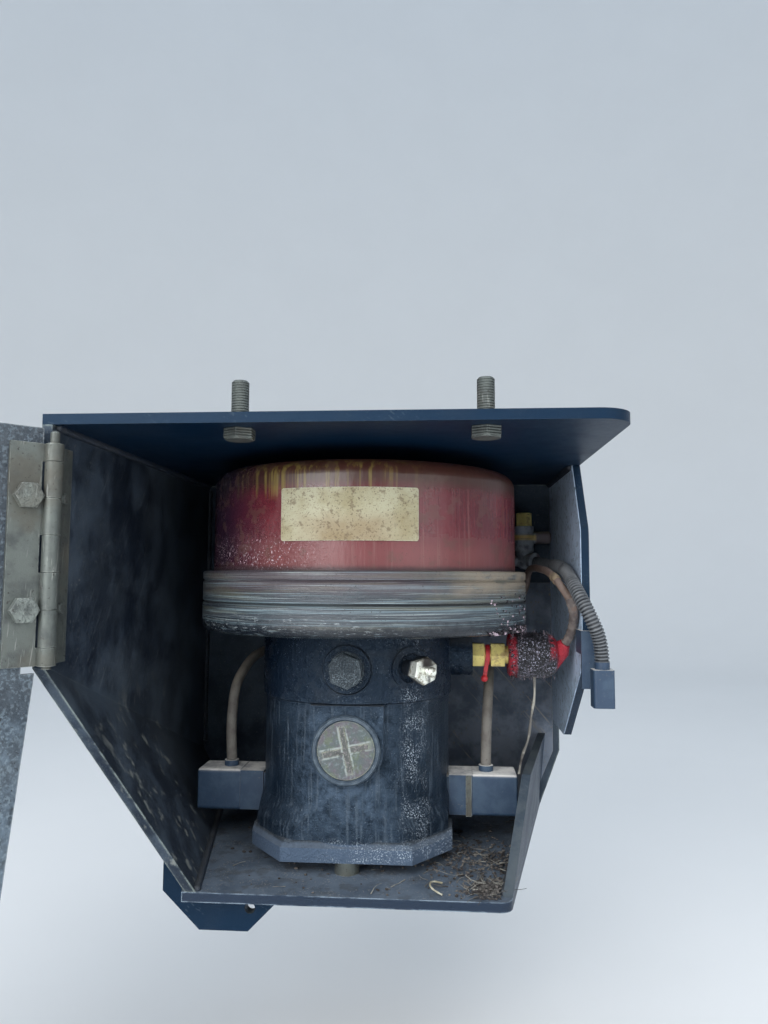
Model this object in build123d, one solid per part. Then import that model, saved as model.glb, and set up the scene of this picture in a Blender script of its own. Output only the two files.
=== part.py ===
"""Automatic grease pump on its hanging sheet-steel bracket, with a hinged cover door.

The bracket hangs by four bolts under a machine's frame. The pump stands on the bracket's shelf, with its
clear reservoir on top, and the cover door swings on a hinge at the left wall. The pump's own sizes come
first, and the bracket takes its room from them.
"""

import math
import os

from build123d import *

# Lengths are in millimetres. X is to the right seen from the front, Y goes back and Z goes up.
# The origin is the centre of the four mounting bolts, on the upper face of the top plate.

# Mounting bolts
bolt_spacing_x = 140.0
bolt_spacing_y = 220.0
mount_bolt_d = 10.0
mount_bolt_rise = 22.0
mount_head_af = 16.0
mount_head_h = 6.4
mount_head_gap = 3.6
bolt_play = 0.5
bolt_chamfer = 1.0

# Pump's place and foot
pump_x = -17.0
pump_y = 40.0
pump_lift = 8.0
flange_t = 13.0
flange_front = 68.0
flange_front_half = 43.0
flange_side = 69.0
flange_side_half = 36.0
flange_bevel = 4.0
foot_bolt_d = 8.0
foot_spacer_d = 16.0
foot_head_af = 13.0
foot_head_h = 5.3
foot_head_room = 2.0
head_face_share = 0.95
head_bevel_deg = 30.0
foot_rear_x = 52.0
foot_rear_y = 46.0
foot_front_y = 60.0
foot_front_cover = 3.0

# Pump body, its heights measured from the flange's underside
body_d = 134.0
flare_h = 21.0
flare_out = 7.0
flare_foot_h = 6.0
flare_share = 0.96
collar_proud = 2.0
collar_rise = 100.0
collar_blend = 1.2
head_disc_play = 2.0
head_disc_t = 14.0
pad_margin = 1.9
pad_proud = 2.5

# Sight glass, plug and filler
sight_rise = 72.0
sight_glass_d = 37.5
sight_ring_wall = 3.35
sight_ring_t = 4.0
sight_ring_bevel = 1.0
sight_dome = 2.2
sight_rib = 3.4
sight_rib_t = 1.0
sight_turn_deg = -12.0
sight_play = 0.3
plug_rise = 123.5
plug_af = 20.0
plug_turn_deg = 38.0
plug_h = 9.0
plug_washer = 1.5
plug_washer_out = 1.5
plug_seat_d = 31.0
plug_moat = 1.2
plug_moat_depth = 3.0
plug_seat_proud = 1.0
filler_angle_deg = 36.0
filler_boss_d = 28.0
filler_boss_out = 1.5
filler_recess_d = 20.0
filler_recess_depth = 3.0
nipple_base_d = 11.0
nipple_base_t = 11.5
nipple_af = 16.0
nipple_hex_t = 10.0
nipple_turn_deg = 20.0
nipple_neck_d = 6.4

# Reservoir and its retaining ring
reservoir_x = -12.0
reservoir_d = 222.0
reservoir_h = 103.4
reservoir_wall = 4.0
reservoir_round_r = 10.0
ring_wall = 7.2
ring_rise = 146.6
ring_h = 41.4
ring_floor_t = 8.0
ring_foot_r = 6.0
ring_lip_h = 6.5
ring_groove = 1.2
ring_top_bevel = 1.0
ring_seam_rise = 20.4
ring_play = 0.3
grease_drop = 14.0
grease_gap = 0.4
label_width = 86.0
label_height = 33.0
label_t = 0.5
label_gap = 0.3
label_drop = 35.2
label_r = 1.5

# Pressure switch
switch_rise = 127.5
switch_boss_d = 30.0
switch_boss_out = 15.5
switch_hex_af = 16.0
switch_hex_t = 9.0
switch_neck_d = 11.0
switch_neck_t = 4.5
switch_hex2_t = 10.0
switch_rim_d = 13.0
switch_rim_t = 2.5
boot_d = 33.0
boot_length = 35.0
boot_nose_d = 14.0
boot_nose_end_d = 8.0
boot_nose_length = 12.0
boot_nose_sink = 9.0
boot_nose_lean = (0.5, -0.4, 0.77)
strap_play = 0.3
strap_t = 1.5
strap_w = 3.0
strap_tail = 16.5
strap_tail_drift = 2.7
strap_knob_d = 5.0

# Valve connectors, the same piece at each side
connector_rise = 30.0
connector_size = 27.5
connector_length = 50.0
connector_cap_proud = 0.5
connector_seam = 17.0
connector_gasket_t = 1.5
connector_sink = 1.5
connector_edge_r = 2.5
connector_pocket_play = 0.4
connector_clip_w = 4.0
connector_clip_t = 0.8
connector_clip_inset = 1.0
connector_entry_out = 28.5
connector_entry_d = 10.5
connector_entry_h = 4.0

# Bracket
plate = 6.0
front_row_setback = 20.0
top_corner_r = 20.0
left_room = 40.0
boot_room = 14.0
rear_room = 2.5
kink_gap = 2.0
shelf_setback = 70.0
shelf_flare = 0.2
shelf_corner_r = 8.0
wall_foot_inset = 2.0
left_foot_inset = 20.5
gusset_room = 0.8
right_wall_setback = 142.0
right_wall_relief = 30.0
right_wall_relief_drop = 50.0
right_wall_drop = 144.0
right_wall_toe = 88.0
right_wall_height = 209.0
right_wall_bend_r = 12.0
gusset_height = 56.0
gusset_run = 75.0
gusset_lean = 0.1
backing_t = 3.0
backing_top = 94.5
backing_left_gap = 16.0
rear_corner_rise = 41.0
weld_gap = 0.3

# Lug under the shelf
lug_t = 8.0
lug_setback = 15.0
lug_left = 17.0
lug_rise = 15.0
lug_drop = 28.5
lug_chamfer = 24.0
lug_length = 75.0
lug_round_r = 20.0
lug_hole_d = 6.6
lug_hole_x = 39.0
lug_hole_drop = 8.5

# Hinge
hinge_length = 120.0
hinge_drop = 18.0
hinge_end_knuckle = 10.0
hinge_knuckle_count = 7
knuckle_d = 9.5
knuckle_gap = 0.4
knuckle_root = 0.85
hinge_pin_d = 5.0
pin_play = 0.2
pin_top = 7.0
pin_bottom = 1.6
leaf_t = 2.5
leaf_width = 22.0
wall_leaf_width = 25.0
hinge_standoff = 5.5
hinge_bolt_d = 8.0
hinge_bolt_drop = 29.0
hinge_bolt_spacing = 61.0
hinge_bolt_back = 12.5
hinge_head_af = 13.0
hinge_head_h = 5.3
hinge_nut_h = 4.0
hinge_nut_end = 1.0
wall_screw_back = 14.0
wall_screw_d = 6.0
wall_screw_af = 10.0
wall_screw_h = 4.0
wall_screw_end = 3.0

# Cover door
door_t = 3.0
door_top_drop = 9.0
door_height = 322.0
door_hinge_gap = 4.5
door_overhang = 8.0
door_rim = 15.0
door_taper = 20.0
door_notch_h = 4.0
door_notch_w = 7.0
door_corner_r = 10.0
door_open_deg = 135.0

# Cable fitting on the back plate, behind the reservoir
fitting_wall_gap = 1.0
fitting_back_gap = 6.0
fitting_top = 33.0
fitting_nut_af = 13.0
fitting_nut_h = 12.0
fitting_d = 17.0
fitting_band_d = 19.0
fitting_h = 22.0
fitting_pin_d = 11.0
fitting_pin_rise = 12.1
fitting_foot_w = 12.0
fitting_pin_out = 15.0
elbow_d = 14.5
elbow_drop = 8.6
elbow_length = 12.0
elbow_lip_d = 17.0
elbow_lip_t = 2.5
elbow_lean = (0.7, -0.7, -0.1)
elbow_port_d = 9.0
elbow_port_out = 15.0

# Leads
valve_lead_d = 7.5
switch_lead_d = 5.6
conduit_d = 10.0
bend_share = 0.45
clip_wall = 1.8
clip_w = 10.0
clip_play = 0.3
clip_tab_h = 12.0
clip_tab_t = 2.0
clip_screw_af = 8.0
clip_screw_h = 3.2
clip_spread = (-1.0, 45.0)
clip_drop = 23.1
clip_back_gap = 4.1
conduit_plug_w = 14.0
conduit_plug_h = 30.0
conduit_plug_r = 2.0
conduit_plug_out = 10.0
conduit_plug_ahead = 17.0
conduit_plug_rise = 4.0
conduit_plug_neck_h = 5.0
jaw_play = 0.3
jaw_t = 2.2
jaw_grip = 10.0
jaw_h = 16.0
jaw_rise = 20.0
spine_t = 3.0

# Pump's outer places
body_r = body_d / 2
collar_r = body_r + collar_proud
ring_d = reservoir_d + 2 * (ring_play + ring_wall)
sight_d = sight_glass_d + 2 * (sight_play + sight_ring_wall)
pad_width = sight_d + 2 * pad_margin
front_feature_y = pump_y - body_r - pad_proud
plug_seat_y = front_feature_y - plug_seat_proud
boss_x = pump_x + collar_r + switch_boss_out
neck_x = boss_x + switch_hex_t
boot_x = neck_x + switch_neck_t + switch_hex2_t + switch_rim_t
boot_end_x = boot_x + boot_length
connector_reach = body_r - connector_sink
connector_end = connector_reach + connector_length
connector_half = connector_size / 2 + connector_cap_proud

# Heights, from the pump's foot up to the top plate
pump_height = ring_rise + ring_floor_t + reservoir_h
inner_height = pump_lift + pump_height + mount_head_h + mount_head_gap
under_z = -plate
shelf_z = under_z - inner_height
flange_z = shelf_z + pump_lift
flange_top_z = flange_z + flange_t
ring_z = flange_z + ring_rise
cup_z = ring_z + ring_floor_t
cup_top_z = cup_z + reservoir_h
switch_z = flange_z + switch_rise
plug_z = flange_z + plug_rise
sight_z = flange_z + sight_rise
connector_z = flange_z + connector_rise
collar_z = flange_z + collar_rise
kink_drop = hinge_drop + hinge_length + kink_gap

# Bracket's room round the pump
front_y = -bolt_spacing_y / 2 - front_row_setback
backing_y = pump_y + ring_d / 2 + rear_room
inner_rear_y = backing_y + backing_t
rear_y = inner_rear_y + plate
left_x = reservoir_x - ring_d / 2 - left_room - plate
inner_right_x = boot_end_x + boot_room
right_x = inner_right_x + plate
top_width = right_x - left_x
top_depth = rear_y - front_y
shelf_front = front_y + shelf_setback
shelf_spread = shelf_flare * (inner_rear_y - shelf_front)
right_edge_y = front_y + right_wall_setback

# The gusset passes the right connector's front lower corner with a named room.
corner_run = shelf_flare * (pump_y - connector_half - shelf_front)
corner_rise = connector_z - connector_half - shelf_z
gusset_thickness_x = plate * math.sqrt(1 + shelf_flare**2 + gusset_lean**2)
gusset_inner_x = pump_x + connector_end + gusset_room
shelf_right = gusset_inner_x - corner_run - gusset_lean * corner_rise + gusset_thickness_x

# The left wall slants from the kink to a foot inside the left connector's end.
wall_foot_x = pump_x - connector_end + left_foot_inset
shelf_left = wall_foot_x - wall_foot_inset
wall_lean = (left_x - wall_foot_x - shelf_flare * shelf_setback) / (-kink_drop - shelf_z)
rear_kink_z = shelf_z + (left_x - wall_foot_x + shelf_spread) / wall_lean

# Hinge, cable fitting and the conduit's plug
knuckle_r = knuckle_d / 2
hinge_x = left_x + plate + knuckle_r
hinge_y = front_y - hinge_standoff
wall_bolt_y = hinge_y + wall_screw_back
fitting_x = inner_right_x - fitting_wall_gap - fitting_pin_out - fitting_d / 2
fitting_y = inner_rear_y - fitting_back_gap - fitting_d / 2
fitting_z = -fitting_top - fitting_nut_h - fitting_h
elbow_z = fitting_z - elbow_drop
conduit_plug_z = under_z - right_wall_drop + conduit_plug_rise
clip_z = ring_z - clip_drop
entry_z = connector_z + connector_half + connector_entry_h

# Places that the leads' routes are measured from
nose_way = Vector(*boot_nose_lean).normalized()
elbow_way = Vector(*elbow_lean).normalized()
left_entry = Vector(pump_x - connector_reach - connector_entry_out, pump_y, entry_z)
right_entry = Vector(pump_x + connector_reach + connector_entry_out, pump_y, entry_z)
rear_clip = Vector(pump_x, backing_y - clip_back_gap, clip_z)
boot_nose = Vector(boot_end_x, pump_y, switch_z) + nose_way * boot_nose_length
wall_edge = Vector(inner_right_x, right_edge_y, ring_z)
elbow = Vector(fitting_x, fitting_y, elbow_z)
elbow_end = elbow + elbow_way * elbow_length
elbow_port = elbow - Vector(elbow_port_out, 0, 0)
plug_top = Vector(inner_right_x + conduit_plug_out, right_edge_y - conduit_plug_ahead, conduit_plug_z)

# Each row is a place and the step from it in X, Y and Z.
valve_route = (
    (left_entry, 0.0, 0.0, 0.4),
    (left_entry, -1.5, 1.0, 25.7),
    (left_entry, -2.0, 12.0, 53.7),
    (left_entry, 3.0, 52.0, 73.7),
    (rear_clip, -69.0, -17.0, 1.5),
    (rear_clip, -28.0, 0.1, 0.5),
    (rear_clip, 25.0, -0.1, -0.5),
    (rear_clip, 65.0, 0.1, 0.5),
    (rear_clip, 93.0, -19.0, 1.5),
    (right_entry, 7.0, 55.0, 73.7),
    (right_entry, 3.5, 18.0, 53.7),
    (right_entry, 0.8, 2.0, 27.7),
    (right_entry, 0.0, 0.0, 0.4),
)
switch_route = (
    (boot_nose, 0.2, -0.1, 0.2),
    (boot_nose, 3.1, -2.4, 4.7),
    (wall_edge, -3.5, 12.0, 5.4),
    (wall_edge, -4.5, 3.0, 14.4),
    (wall_edge, -8.0, 2.0, 23.4),
    (wall_edge, -12.5, 6.0, 30.9),
    (wall_edge, -16.0, 14.0, 37.4),
    (wall_edge, -19.0, 30.0, 42.4),
    (elbow, 0.3, -67.5, -6.2),
    (elbow, -1.5, -45.5, -8.4),
    (elbow, -2.2, -27.5, -25.4),
    (elbow, -12.0, -11.5, -48.4),
    (elbow, -30.0, -2.5, -48.4),
    (elbow, -44.0, 0.5, -34.4),
    (elbow, -46.0, 1.0, -15.4),
    (elbow, -32.5, 0.3, -0.5),
    (elbow_port, -0.3, 0.0, 0.0),
)
conduit_route = (
    (elbow_end, 0.2, -0.2, 0.0),
    (elbow, 15.5, -15.5, -2.4),
    (elbow, 18.0, -34.5, -4.4),
    (wall_edge, -6.3, 72.0, 47.4),
    (wall_edge, -6.3, 43.0, 45.4),
    (wall_edge, -6.3, 19.0, 41.9),
    (wall_edge, -5.0, -8.0, 29.9),
    (wall_edge, 2.5, -20.0, 11.4),
    (plug_top, -0.3, -0.2, 13.0),
    (plug_top, 0.0, 0.0, 0.3),
)


def block(x0, x1, y0, y1, z0, z1):
    """A box between two corners."""
    return Pos((x0 + x1) / 2, (y0 + y1) / 2, (z0 + z1) / 2) * Box(x1 - x0, y1 - y0, z1 - z0)


def prism_x(outline, x0, x1):
    """An outline of (y, z) points pushed from x0 to x1."""
    plane = Plane(origin=(x0, 0, 0), x_dir=(0, 1, 0), z_dir=(1, 0, 0))
    return extrude(plane * make_face(Polyline(*outline, close=True)), x1 - x0)


def prism_y(outline, y0, y1):
    """An outline of (x, z) points pushed from y0 to y1."""
    plane = Plane(origin=(0, y1, 0), x_dir=(1, 0, 0), z_dir=(0, -1, 0))
    return extrude(plane * make_face(Polyline(*outline, close=True)), y1 - y0)


def prism_z(outline, z0, z1):
    """An outline of (x, y) points pushed from z0 to z1."""
    plane = Plane(origin=(0, 0, z0), x_dir=(1, 0, 0), z_dir=(0, 0, 1))
    return extrude(plane * make_face(Polyline(*outline, close=True)), z1 - z0)


def rod(start, direction, d, length):
    """A round bar from a point along a direction."""
    plane = Plane(origin=start, z_dir=direction)
    return extrude(plane * Circle(d / 2), length)


def hex_bar(start, direction, across_flats, length, turn=0):
    """A hexagonal bar from a point along a direction, turned about its axis from where a flat is on top."""
    way = Vector(direction)
    side = Vector(0, 0, 1) if abs(way.Z) < 0.9 else Vector(1, 0, 0)
    plane = Plane(origin=start, x_dir=side.cross(way), z_dir=way)
    outline = Rot(0, 0, turn) * RegularPolygon(across_flats / math.sqrt(3), 6)
    return extrude(plane * outline, length)


def turned(profile, start, direction):
    """A solid turned from (radius, height) points about an axis through a point."""
    base = revolve(Plane.XZ * make_face(Polyline(*profile, close=True)), Axis.Z)
    return Plane(origin=start, z_dir=direction) * base


def sloping_side(foot_x, flare, lean, inset):
    """All that lies to the right of a sheet's plane rising from the shelf, the plane set in by an amount."""
    normal = Vector(1, -flare, -lean).normalized()
    start = Vector(foot_x, shelf_front, shelf_z) + normal * inset
    return extrude(Plane(origin=start, z_dir=normal) * Rectangle(4 * top_width, 4 * top_depth), 2 * top_width)

def hex_head(start, direction, across_flats, height, turn=0):
    """A hexagonal bar with the corners of its far end turned off, as on a bolt head."""
    outside = across_flats / math.sqrt(3) + 1
    face = head_face_share * across_flats / 2
    drop = (outside - face) * math.tan(math.radians(head_bevel_deg))
    profile = [(0, 0), (outside, 0), (outside, height - drop), (face, height), (0, height)]
    return hex_bar(start, direction, across_flats, height, turn) & turned(profile, start, direction)


def lead(route, d):
    """A round lead along a route's straight runs, joined by arcs that take a share of the shorter run."""
    points = [place + Vector(x, y, z) for place, x, y, z in route]
    radii = []
    for before, at, after in zip(points, points[1:], points[2:]):
        half_turn = math.radians((at - before).get_angle(after - at)) / 2
        radii.append(bend_share * min((at - before).length, (after - at).length) / math.tan(half_turn))
    line = FilletPolyline(*points, radius=radii)
    tube = sweep(Plane(origin=line @ 0, z_dir=line % 0) * Circle(d / 2), path=line)
    share = tube.volume / (math.pi * d**2 / 4 * line.length)
    print(f"lead {d} mm thick: {line.length:.1f} mm long, volume {share:.3f} of section by length")
    print("  bend radii", [round(radius, 1) for radius in radii])
    return tube


def top_plate():
    body = block(left_x, right_x, front_y, rear_y, -plate, 0)
    corner = body.edges().filter_by(Axis.Z).sort_by(lambda e: e.center().Y - e.center().X)[0]
    body = fillet(corner, top_corner_r)
    for x in (-bolt_spacing_x / 2, bolt_spacing_x / 2):
        for y in (-bolt_spacing_y / 2, bolt_spacing_y / 2):
            body -= rod((x, y, -plate - 1), (0, 0, 1), mount_bolt_d + 2 * bolt_play, plate + 2)
    return body

def mount_bolts():
    bolts = []
    for x in (-bolt_spacing_x / 2, bolt_spacing_x / 2):
        for y in (-bolt_spacing_y / 2, bolt_spacing_y / 2):
            shank = rod((x, y, 0), (0, 0, 1), mount_bolt_d, mount_bolt_rise)
            shank = chamfer(shank.edges().sort_by(Axis.Z)[-1], bolt_chamfer)
            shank += rod((x, y, -plate), (0, 0, 1), mount_bolt_d + bolt_play, plate)
            bolts.append(shank + hex_head((x, y, -plate), (0, 0, -1), mount_head_af, mount_head_h))
    return Compound(bolts)


def left_wall():
    """Straight down from the top plate, then bent in along a slanting line to the flared shelf."""
    outer = block(left_x, right_x, front_y, inner_rear_y, shelf_z, under_z)
    outer &= sloping_side(wall_foot_x, -shelf_flare, wall_lean, 0)
    inner = block(left_x + plate, right_x + 1, front_y - 1, inner_rear_y + 1, shelf_z - 1, under_z + 1)
    inner &= sloping_side(wall_foot_x, -shelf_flare, wall_lean, plate)
    side = [
        (front_y, under_z),
        (front_y, -kink_drop),
        (shelf_front, shelf_z),
        (inner_rear_y, shelf_z),
        (inner_rear_y, under_z),
    ]
    body = (outer - inner) & prism_x(side, left_x - 1, shelf_right)
    for z in hinge_bolt_heights():
        body -= rod((left_x - 1, wall_bolt_y, z), (1, 0, 0), wall_screw_d + bolt_play, plate + 2)
    return body

def right_wall():
    foot_z = under_z - right_wall_drop
    outline = [
        (right_edge_y + right_wall_relief, under_z),
        (right_edge_y, under_z - right_wall_relief_drop),
        (right_edge_y, foot_z),
        (right_edge_y + right_wall_toe, under_z - right_wall_height),
        (inner_rear_y, under_z - right_wall_height),
        (inner_rear_y, under_z),
    ]
    body = prism_x(outline, inner_right_x, right_x)
    bends = body.edges().filter_by(Axis.X).group_by(Axis.Y)[0]
    return fillet(bends, right_wall_bend_r)


def back_plate():
    outline = [
        (left_x, under_z),
        (left_x, rear_kink_z),
        (wall_foot_x - shelf_spread, shelf_z),
        (shelf_left - shelf_spread, shelf_z - plate),
        (shelf_right + shelf_spread, shelf_z - plate),
        (right_x, shelf_z + rear_corner_rise),
        (right_x, under_z),
    ]
    return prism_y(outline, inner_rear_y, rear_y)

def backing_plate():
    """The lower doubler in front of the back plate."""
    left = shelf_left + backing_left_gap
    outline = [
        (left, shelf_z),
        (shelf_right + shelf_spread - plate, shelf_z),
        (inner_right_x, shelf_z + rear_corner_rise),
        (inner_right_x, -backing_top),
        (left, -backing_top),
    ]
    return prism_y(outline, backing_y, inner_rear_y)


def shelf():
    """The floor, wider at the rear than at the front."""
    outline = [
        (shelf_left, shelf_front),
        (shelf_right, shelf_front),
        (shelf_right + shelf_spread, inner_rear_y),
        (shelf_left - shelf_spread, inner_rear_y),
    ]
    body = prism_z(outline, shelf_z - plate, shelf_z)
    corner = body.edges().filter_by(Axis.Z).sort_by(lambda e: e.center().Y - e.center().X / 2)[0]
    body = fillet(corner, shelf_corner_r)
    for x, y in foot_places():
        body -= rod((x, y, shelf_z - plate - 1), (0, 0, 1), foot_bolt_d + bolt_play, plate + 2)
    return body

def side_gusset():
    """The low wall at the shelf's right end, which leans outwards."""
    side = [
        (shelf_front + shelf_corner_r, shelf_z),
        (shelf_front + gusset_run, shelf_z + gusset_height),
        (backing_y, shelf_z + gusset_height),
        (backing_y, shelf_z),
    ]
    body = prism_x(side, 0, right_x) & sloping_side(shelf_right, shelf_flare, gusset_lean, -plate)
    return body - sloping_side(shelf_right, shelf_flare, gusset_lean, 0)

def lug():
    """The holed lug under the shelf's left front corner, fixed to the shelf and beside the wall's foot."""
    x0 = shelf_left - lug_left
    low = shelf_z - lug_drop
    under = shelf_z - plate
    y0 = shelf_front + lug_setback
    drift = shelf_flare * (lug_setback + lug_t)
    edge_x = shelf_left - drift - weld_gap
    foot_x = wall_foot_x - drift - weld_gap
    outline = [
        (x0, shelf_z + lug_rise),
        (x0, low + lug_chamfer - 1),
        (x0 + lug_chamfer, low),
        (x0 + lug_length - lug_round_r, low),
        (x0 + lug_length, low + lug_round_r),
        (x0 + lug_length, under),
        (edge_x, under),
        (edge_x, shelf_z + (edge_x - foot_x) / wall_lean),
        (foot_x + wall_lean * lug_rise, shelf_z + lug_rise),
    ]
    body = prism_y(outline, y0, y0 + lug_t)
    hole = rod((x0 + lug_hole_x + lug_left, y0 - 1, under - lug_hole_drop), (0, 1, 0), lug_hole_d, lug_t + 2)
    return body - hole


# Hinge
def hinge_bolt_heights():
    first = -hinge_drop - hinge_bolt_drop
    return (first, first - hinge_bolt_spacing)


def knuckle_spans():
    """Bottom and top of each knuckle from the top down, with half a gap at each inner end."""
    middle = (hinge_length - 2 * hinge_end_knuckle) / (hinge_knuckle_count - 2)
    lengths = [hinge_end_knuckle] + [middle] * (hinge_knuckle_count - 2) + [hinge_end_knuckle]
    top = -hinge_drop
    spans = []
    for length in lengths:
        spans.append((top - length + knuckle_gap / 2, top - knuckle_gap / 2))
        top -= length
    return spans


def hinge_leaf(own, width, bore_play):
    """A leaf that lies along +X from the pin, its mounting face towards -Y, with every other knuckle."""
    start = knuckle_r + knuckle_root
    low, high = -hinge_drop - hinge_length, -hinge_drop
    body = block(start, width, -knuckle_r, leaf_t - knuckle_r, low, high)
    for bottom, top in knuckle_spans()[own::2]:
        body += block(0, start, -knuckle_r, leaf_t - knuckle_r, bottom, top)
        body += rod((0, 0, bottom), (0, 0, 1), knuckle_d, top - bottom)
    return body - rod((0, 0, low - 1), (0, 0, 1), hinge_pin_d + 2 * bore_play, hinge_length + 2)


def swung(body):
    """Turns a closed door piece about the hinge pin to the open place."""
    turn = Rot(0, 0, -door_open_deg)
    return Pos(hinge_x, hinge_y, 0) * turn * body


def hinge_wall_leaf():
    leaf = hinge_leaf(1, wall_leaf_width, pin_play / 2)
    leaf = Pos(hinge_x, hinge_y, 0) * Rot(0, 0, 90) * mirror(leaf, Plane.XZ)
    for z in hinge_bolt_heights():
        leaf -= rod((left_x, wall_bolt_y, z), (1, 0, 0), wall_screw_d, plate + leaf_t + 2)
    return leaf


def hinge_door_leaf():
    leaf = hinge_leaf(0, leaf_width, pin_play)
    for z in hinge_bolt_heights():
        leaf -= rod((hinge_bolt_back, -knuckle_r - 1, z), (0, 1, 0), hinge_bolt_d + bolt_play, leaf_t + 2)
    return swung(leaf)


def hinge_pin():
    low = -hinge_drop - hinge_length - pin_bottom
    pin = rod((hinge_x, hinge_y, low), (0, 0, 1), hinge_pin_d, hinge_length + pin_bottom + pin_top)
    return chamfer(pin.edges().sort_by(Axis.Z)[-1], bolt_chamfer)


def hinge_wall_bolts():
    bolts = []
    for z in hinge_bolt_heights():
        outer = (left_x, wall_bolt_y, z)
        shank = rod(outer, (1, 0, 0), wall_screw_d, plate + leaf_t + wall_screw_end)
        shank = chamfer(shank.edges().sort_by(Axis.X)[-1], bolt_chamfer / 2)
        bolts.append(shank + hex_head(outer, (-1, 0, 0), wall_screw_af, wall_screw_h))
    return Compound(bolts)

def hinge_door_bolts():
    bolts = []
    face = leaf_t - knuckle_r
    grip = leaf_t + door_t
    for z in hinge_bolt_heights():
        shank = rod((hinge_bolt_back, face, z), (0, -1, 0), hinge_bolt_d, grip + hinge_nut_h + hinge_nut_end)
        head = hex_head((hinge_bolt_back, face, z), (0, 1, 0), hinge_head_af, hinge_head_h)
        nut = hex_head((hinge_bolt_back, face - grip, z), (0, -1, 0), hinge_head_af, hinge_nut_h)
        bolts.append(swung(shank + head + nut))
    return Compound(bolts)


def door_panel():
    """The cover, drawn closed from the pin and then swung open: sheet with rims at its free side and foot."""
    face = -knuckle_r
    right = right_x + door_overhang - hinge_x
    top = -door_top_drop
    foot = top - door_height
    leaf_foot = -hinge_drop - hinge_length
    outline = [
        (door_hinge_gap, top),
        (right, top),
        (right, foot),
        (door_hinge_gap + door_taper, foot),
        (door_hinge_gap, leaf_foot - door_notch_h),
        (door_hinge_gap + door_notch_w, leaf_foot - door_notch_h),
        (door_hinge_gap + door_notch_w, leaf_foot),
        (door_hinge_gap, leaf_foot),
    ]
    sheet = prism_y(outline, face - door_t, face)
    free_top = sheet.edges().filter_by(Axis.Y).sort_by(lambda e: -e.center().X - e.center().Z)[0]
    sheet = fillet(free_top, door_corner_r)
    side = block(right - door_t, right, face - door_t, face + door_rim, foot, top - door_corner_r)
    bottom = block(door_hinge_gap + door_taper, right, face - door_t, face + door_rim, foot, foot + door_t)
    body = sheet + side + bottom
    for z in hinge_bolt_heights():
        body -= rod((hinge_bolt_back, face - door_t - 1, z), (0, 1, 0), hinge_bolt_d + bolt_play, door_t + 2)
    return swung(body)


# Pump
def foot_places():
    return (
        (pump_x, pump_y - foot_front_y),
        (pump_x - foot_rear_x, pump_y + foot_rear_y),
        (pump_x + foot_rear_x, pump_y + foot_rear_y),
    )


def flange_outline():
    """The foot flange's corners: flat front and rear, with slanting corners."""
    quarter = [(flange_front_half, -flange_front), (flange_side, -flange_side_half)]
    right = quarter + [(x, -y) for x, y in quarter[::-1]]
    return [(pump_x + x, pump_y + y) for x, y in right + [(-x, y) for x, y in right[::-1]]]


def foot_flange():
    """The flange, bevelled at the front, with the body's flare rising from it."""
    flange = prism_z(flange_outline(), flange_z, flange_top_z)
    front = flange.edges().group_by(Axis.Z)[-1].filter_by(lambda e: e.center().Y < pump_y - flange_side_half)
    flange = chamfer(front, flange_bevel)
    wide = body_r + flare_out
    profile = [(0, 0), (wide, 0), (wide, flare_foot_h), (body_r, flare_h), (0, flare_h)]
    flare = turned(profile, (pump_x, pump_y, flange_top_z), (0, 0, 1))
    within = []
    for x, y in flange_outline():
        within.append((pump_x + (x - pump_x) * flare_share, pump_y + (y - pump_y) * flare_share))
    return flange + (flare & prism_z(within, flange_top_z, flange_top_z + flare_h))


def sight_pad():
    """The flat raised pad on the body's front that carries the sight glass, round at its foot."""
    half = pad_width / 2
    pad = block(pump_x - half, pump_x + half, front_feature_y, pump_y, sight_z, collar_z)
    return pad + rod((pump_x, pump_y, sight_z), (0, -1, 0), pad_width, pump_y - front_feature_y)


def filler_way():
    """The direction in which the filler boss stands out."""
    angle = math.radians(filler_angle_deg)
    return Vector(math.sin(angle), -math.cos(angle), 0)


def filler_seat():
    """The centre of the recess in the filler boss, where the grease nipple is seated."""
    out = collar_r + filler_boss_out - filler_recess_depth
    return Vector(pump_x, pump_y, plug_z) + filler_way() * out


def pump_body():
    profile = [
        (0, flange_z + 1),
        (body_r, flange_z + 1),
        (body_r, collar_z),
        (collar_r, collar_z + collar_blend),
        (collar_r, cup_z),
        (0, cup_z),
    ]
    disc_d = reservoir_d - 2 * (reservoir_wall + head_disc_play)
    body = foot_flange() + turned(profile, (pump_x, pump_y, 0), (0, 0, 1)) + sight_pad()
    body += rod((reservoir_x, pump_y, cup_z), (0, 0, 1), disc_d, head_disc_t)
    moat_d = plug_seat_d + 2 * plug_moat
    body -= rod((pump_x, plug_seat_y, plug_z), (0, 1, 0), moat_d, plug_seat_proud + plug_moat_depth)
    body += rod((pump_x, pump_y, plug_z), (0, -1, 0), plug_seat_d, pump_y - plug_seat_y)
    body += rod((pump_x, pump_y, plug_z), filler_way(), filler_boss_d, collar_r + filler_boss_out)
    body -= rod(filler_seat(), filler_way(), filler_recess_d, filler_recess_depth + 1)
    body += rod((pump_x, pump_y, switch_z), (1, 0, 0), switch_boss_d, boss_x - pump_x)
    half = connector_half + connector_pocket_play
    for side in (-1, 1):
        ends = sorted((pump_x + side * connector_reach, pump_x + side * connector_end))
        body -= block(*ends, pump_y - half, pump_y + half, connector_z - half, connector_z + half)
    front, *rear = foot_places()
    body -= rod((*front, flange_z - 1), (0, 0, 1), foot_bolt_d + bolt_play, flange_t + 1 - foot_front_cover)
    for place in rear:
        body -= rod((*place, flange_z - 1), (0, 0, 1), foot_bolt_d + bolt_play, flange_t + 2)
        body -= rod((*place, flange_top_z), (0, 0, 1), foot_head_af + 2 * foot_head_room, flare_h)
    return body


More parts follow.
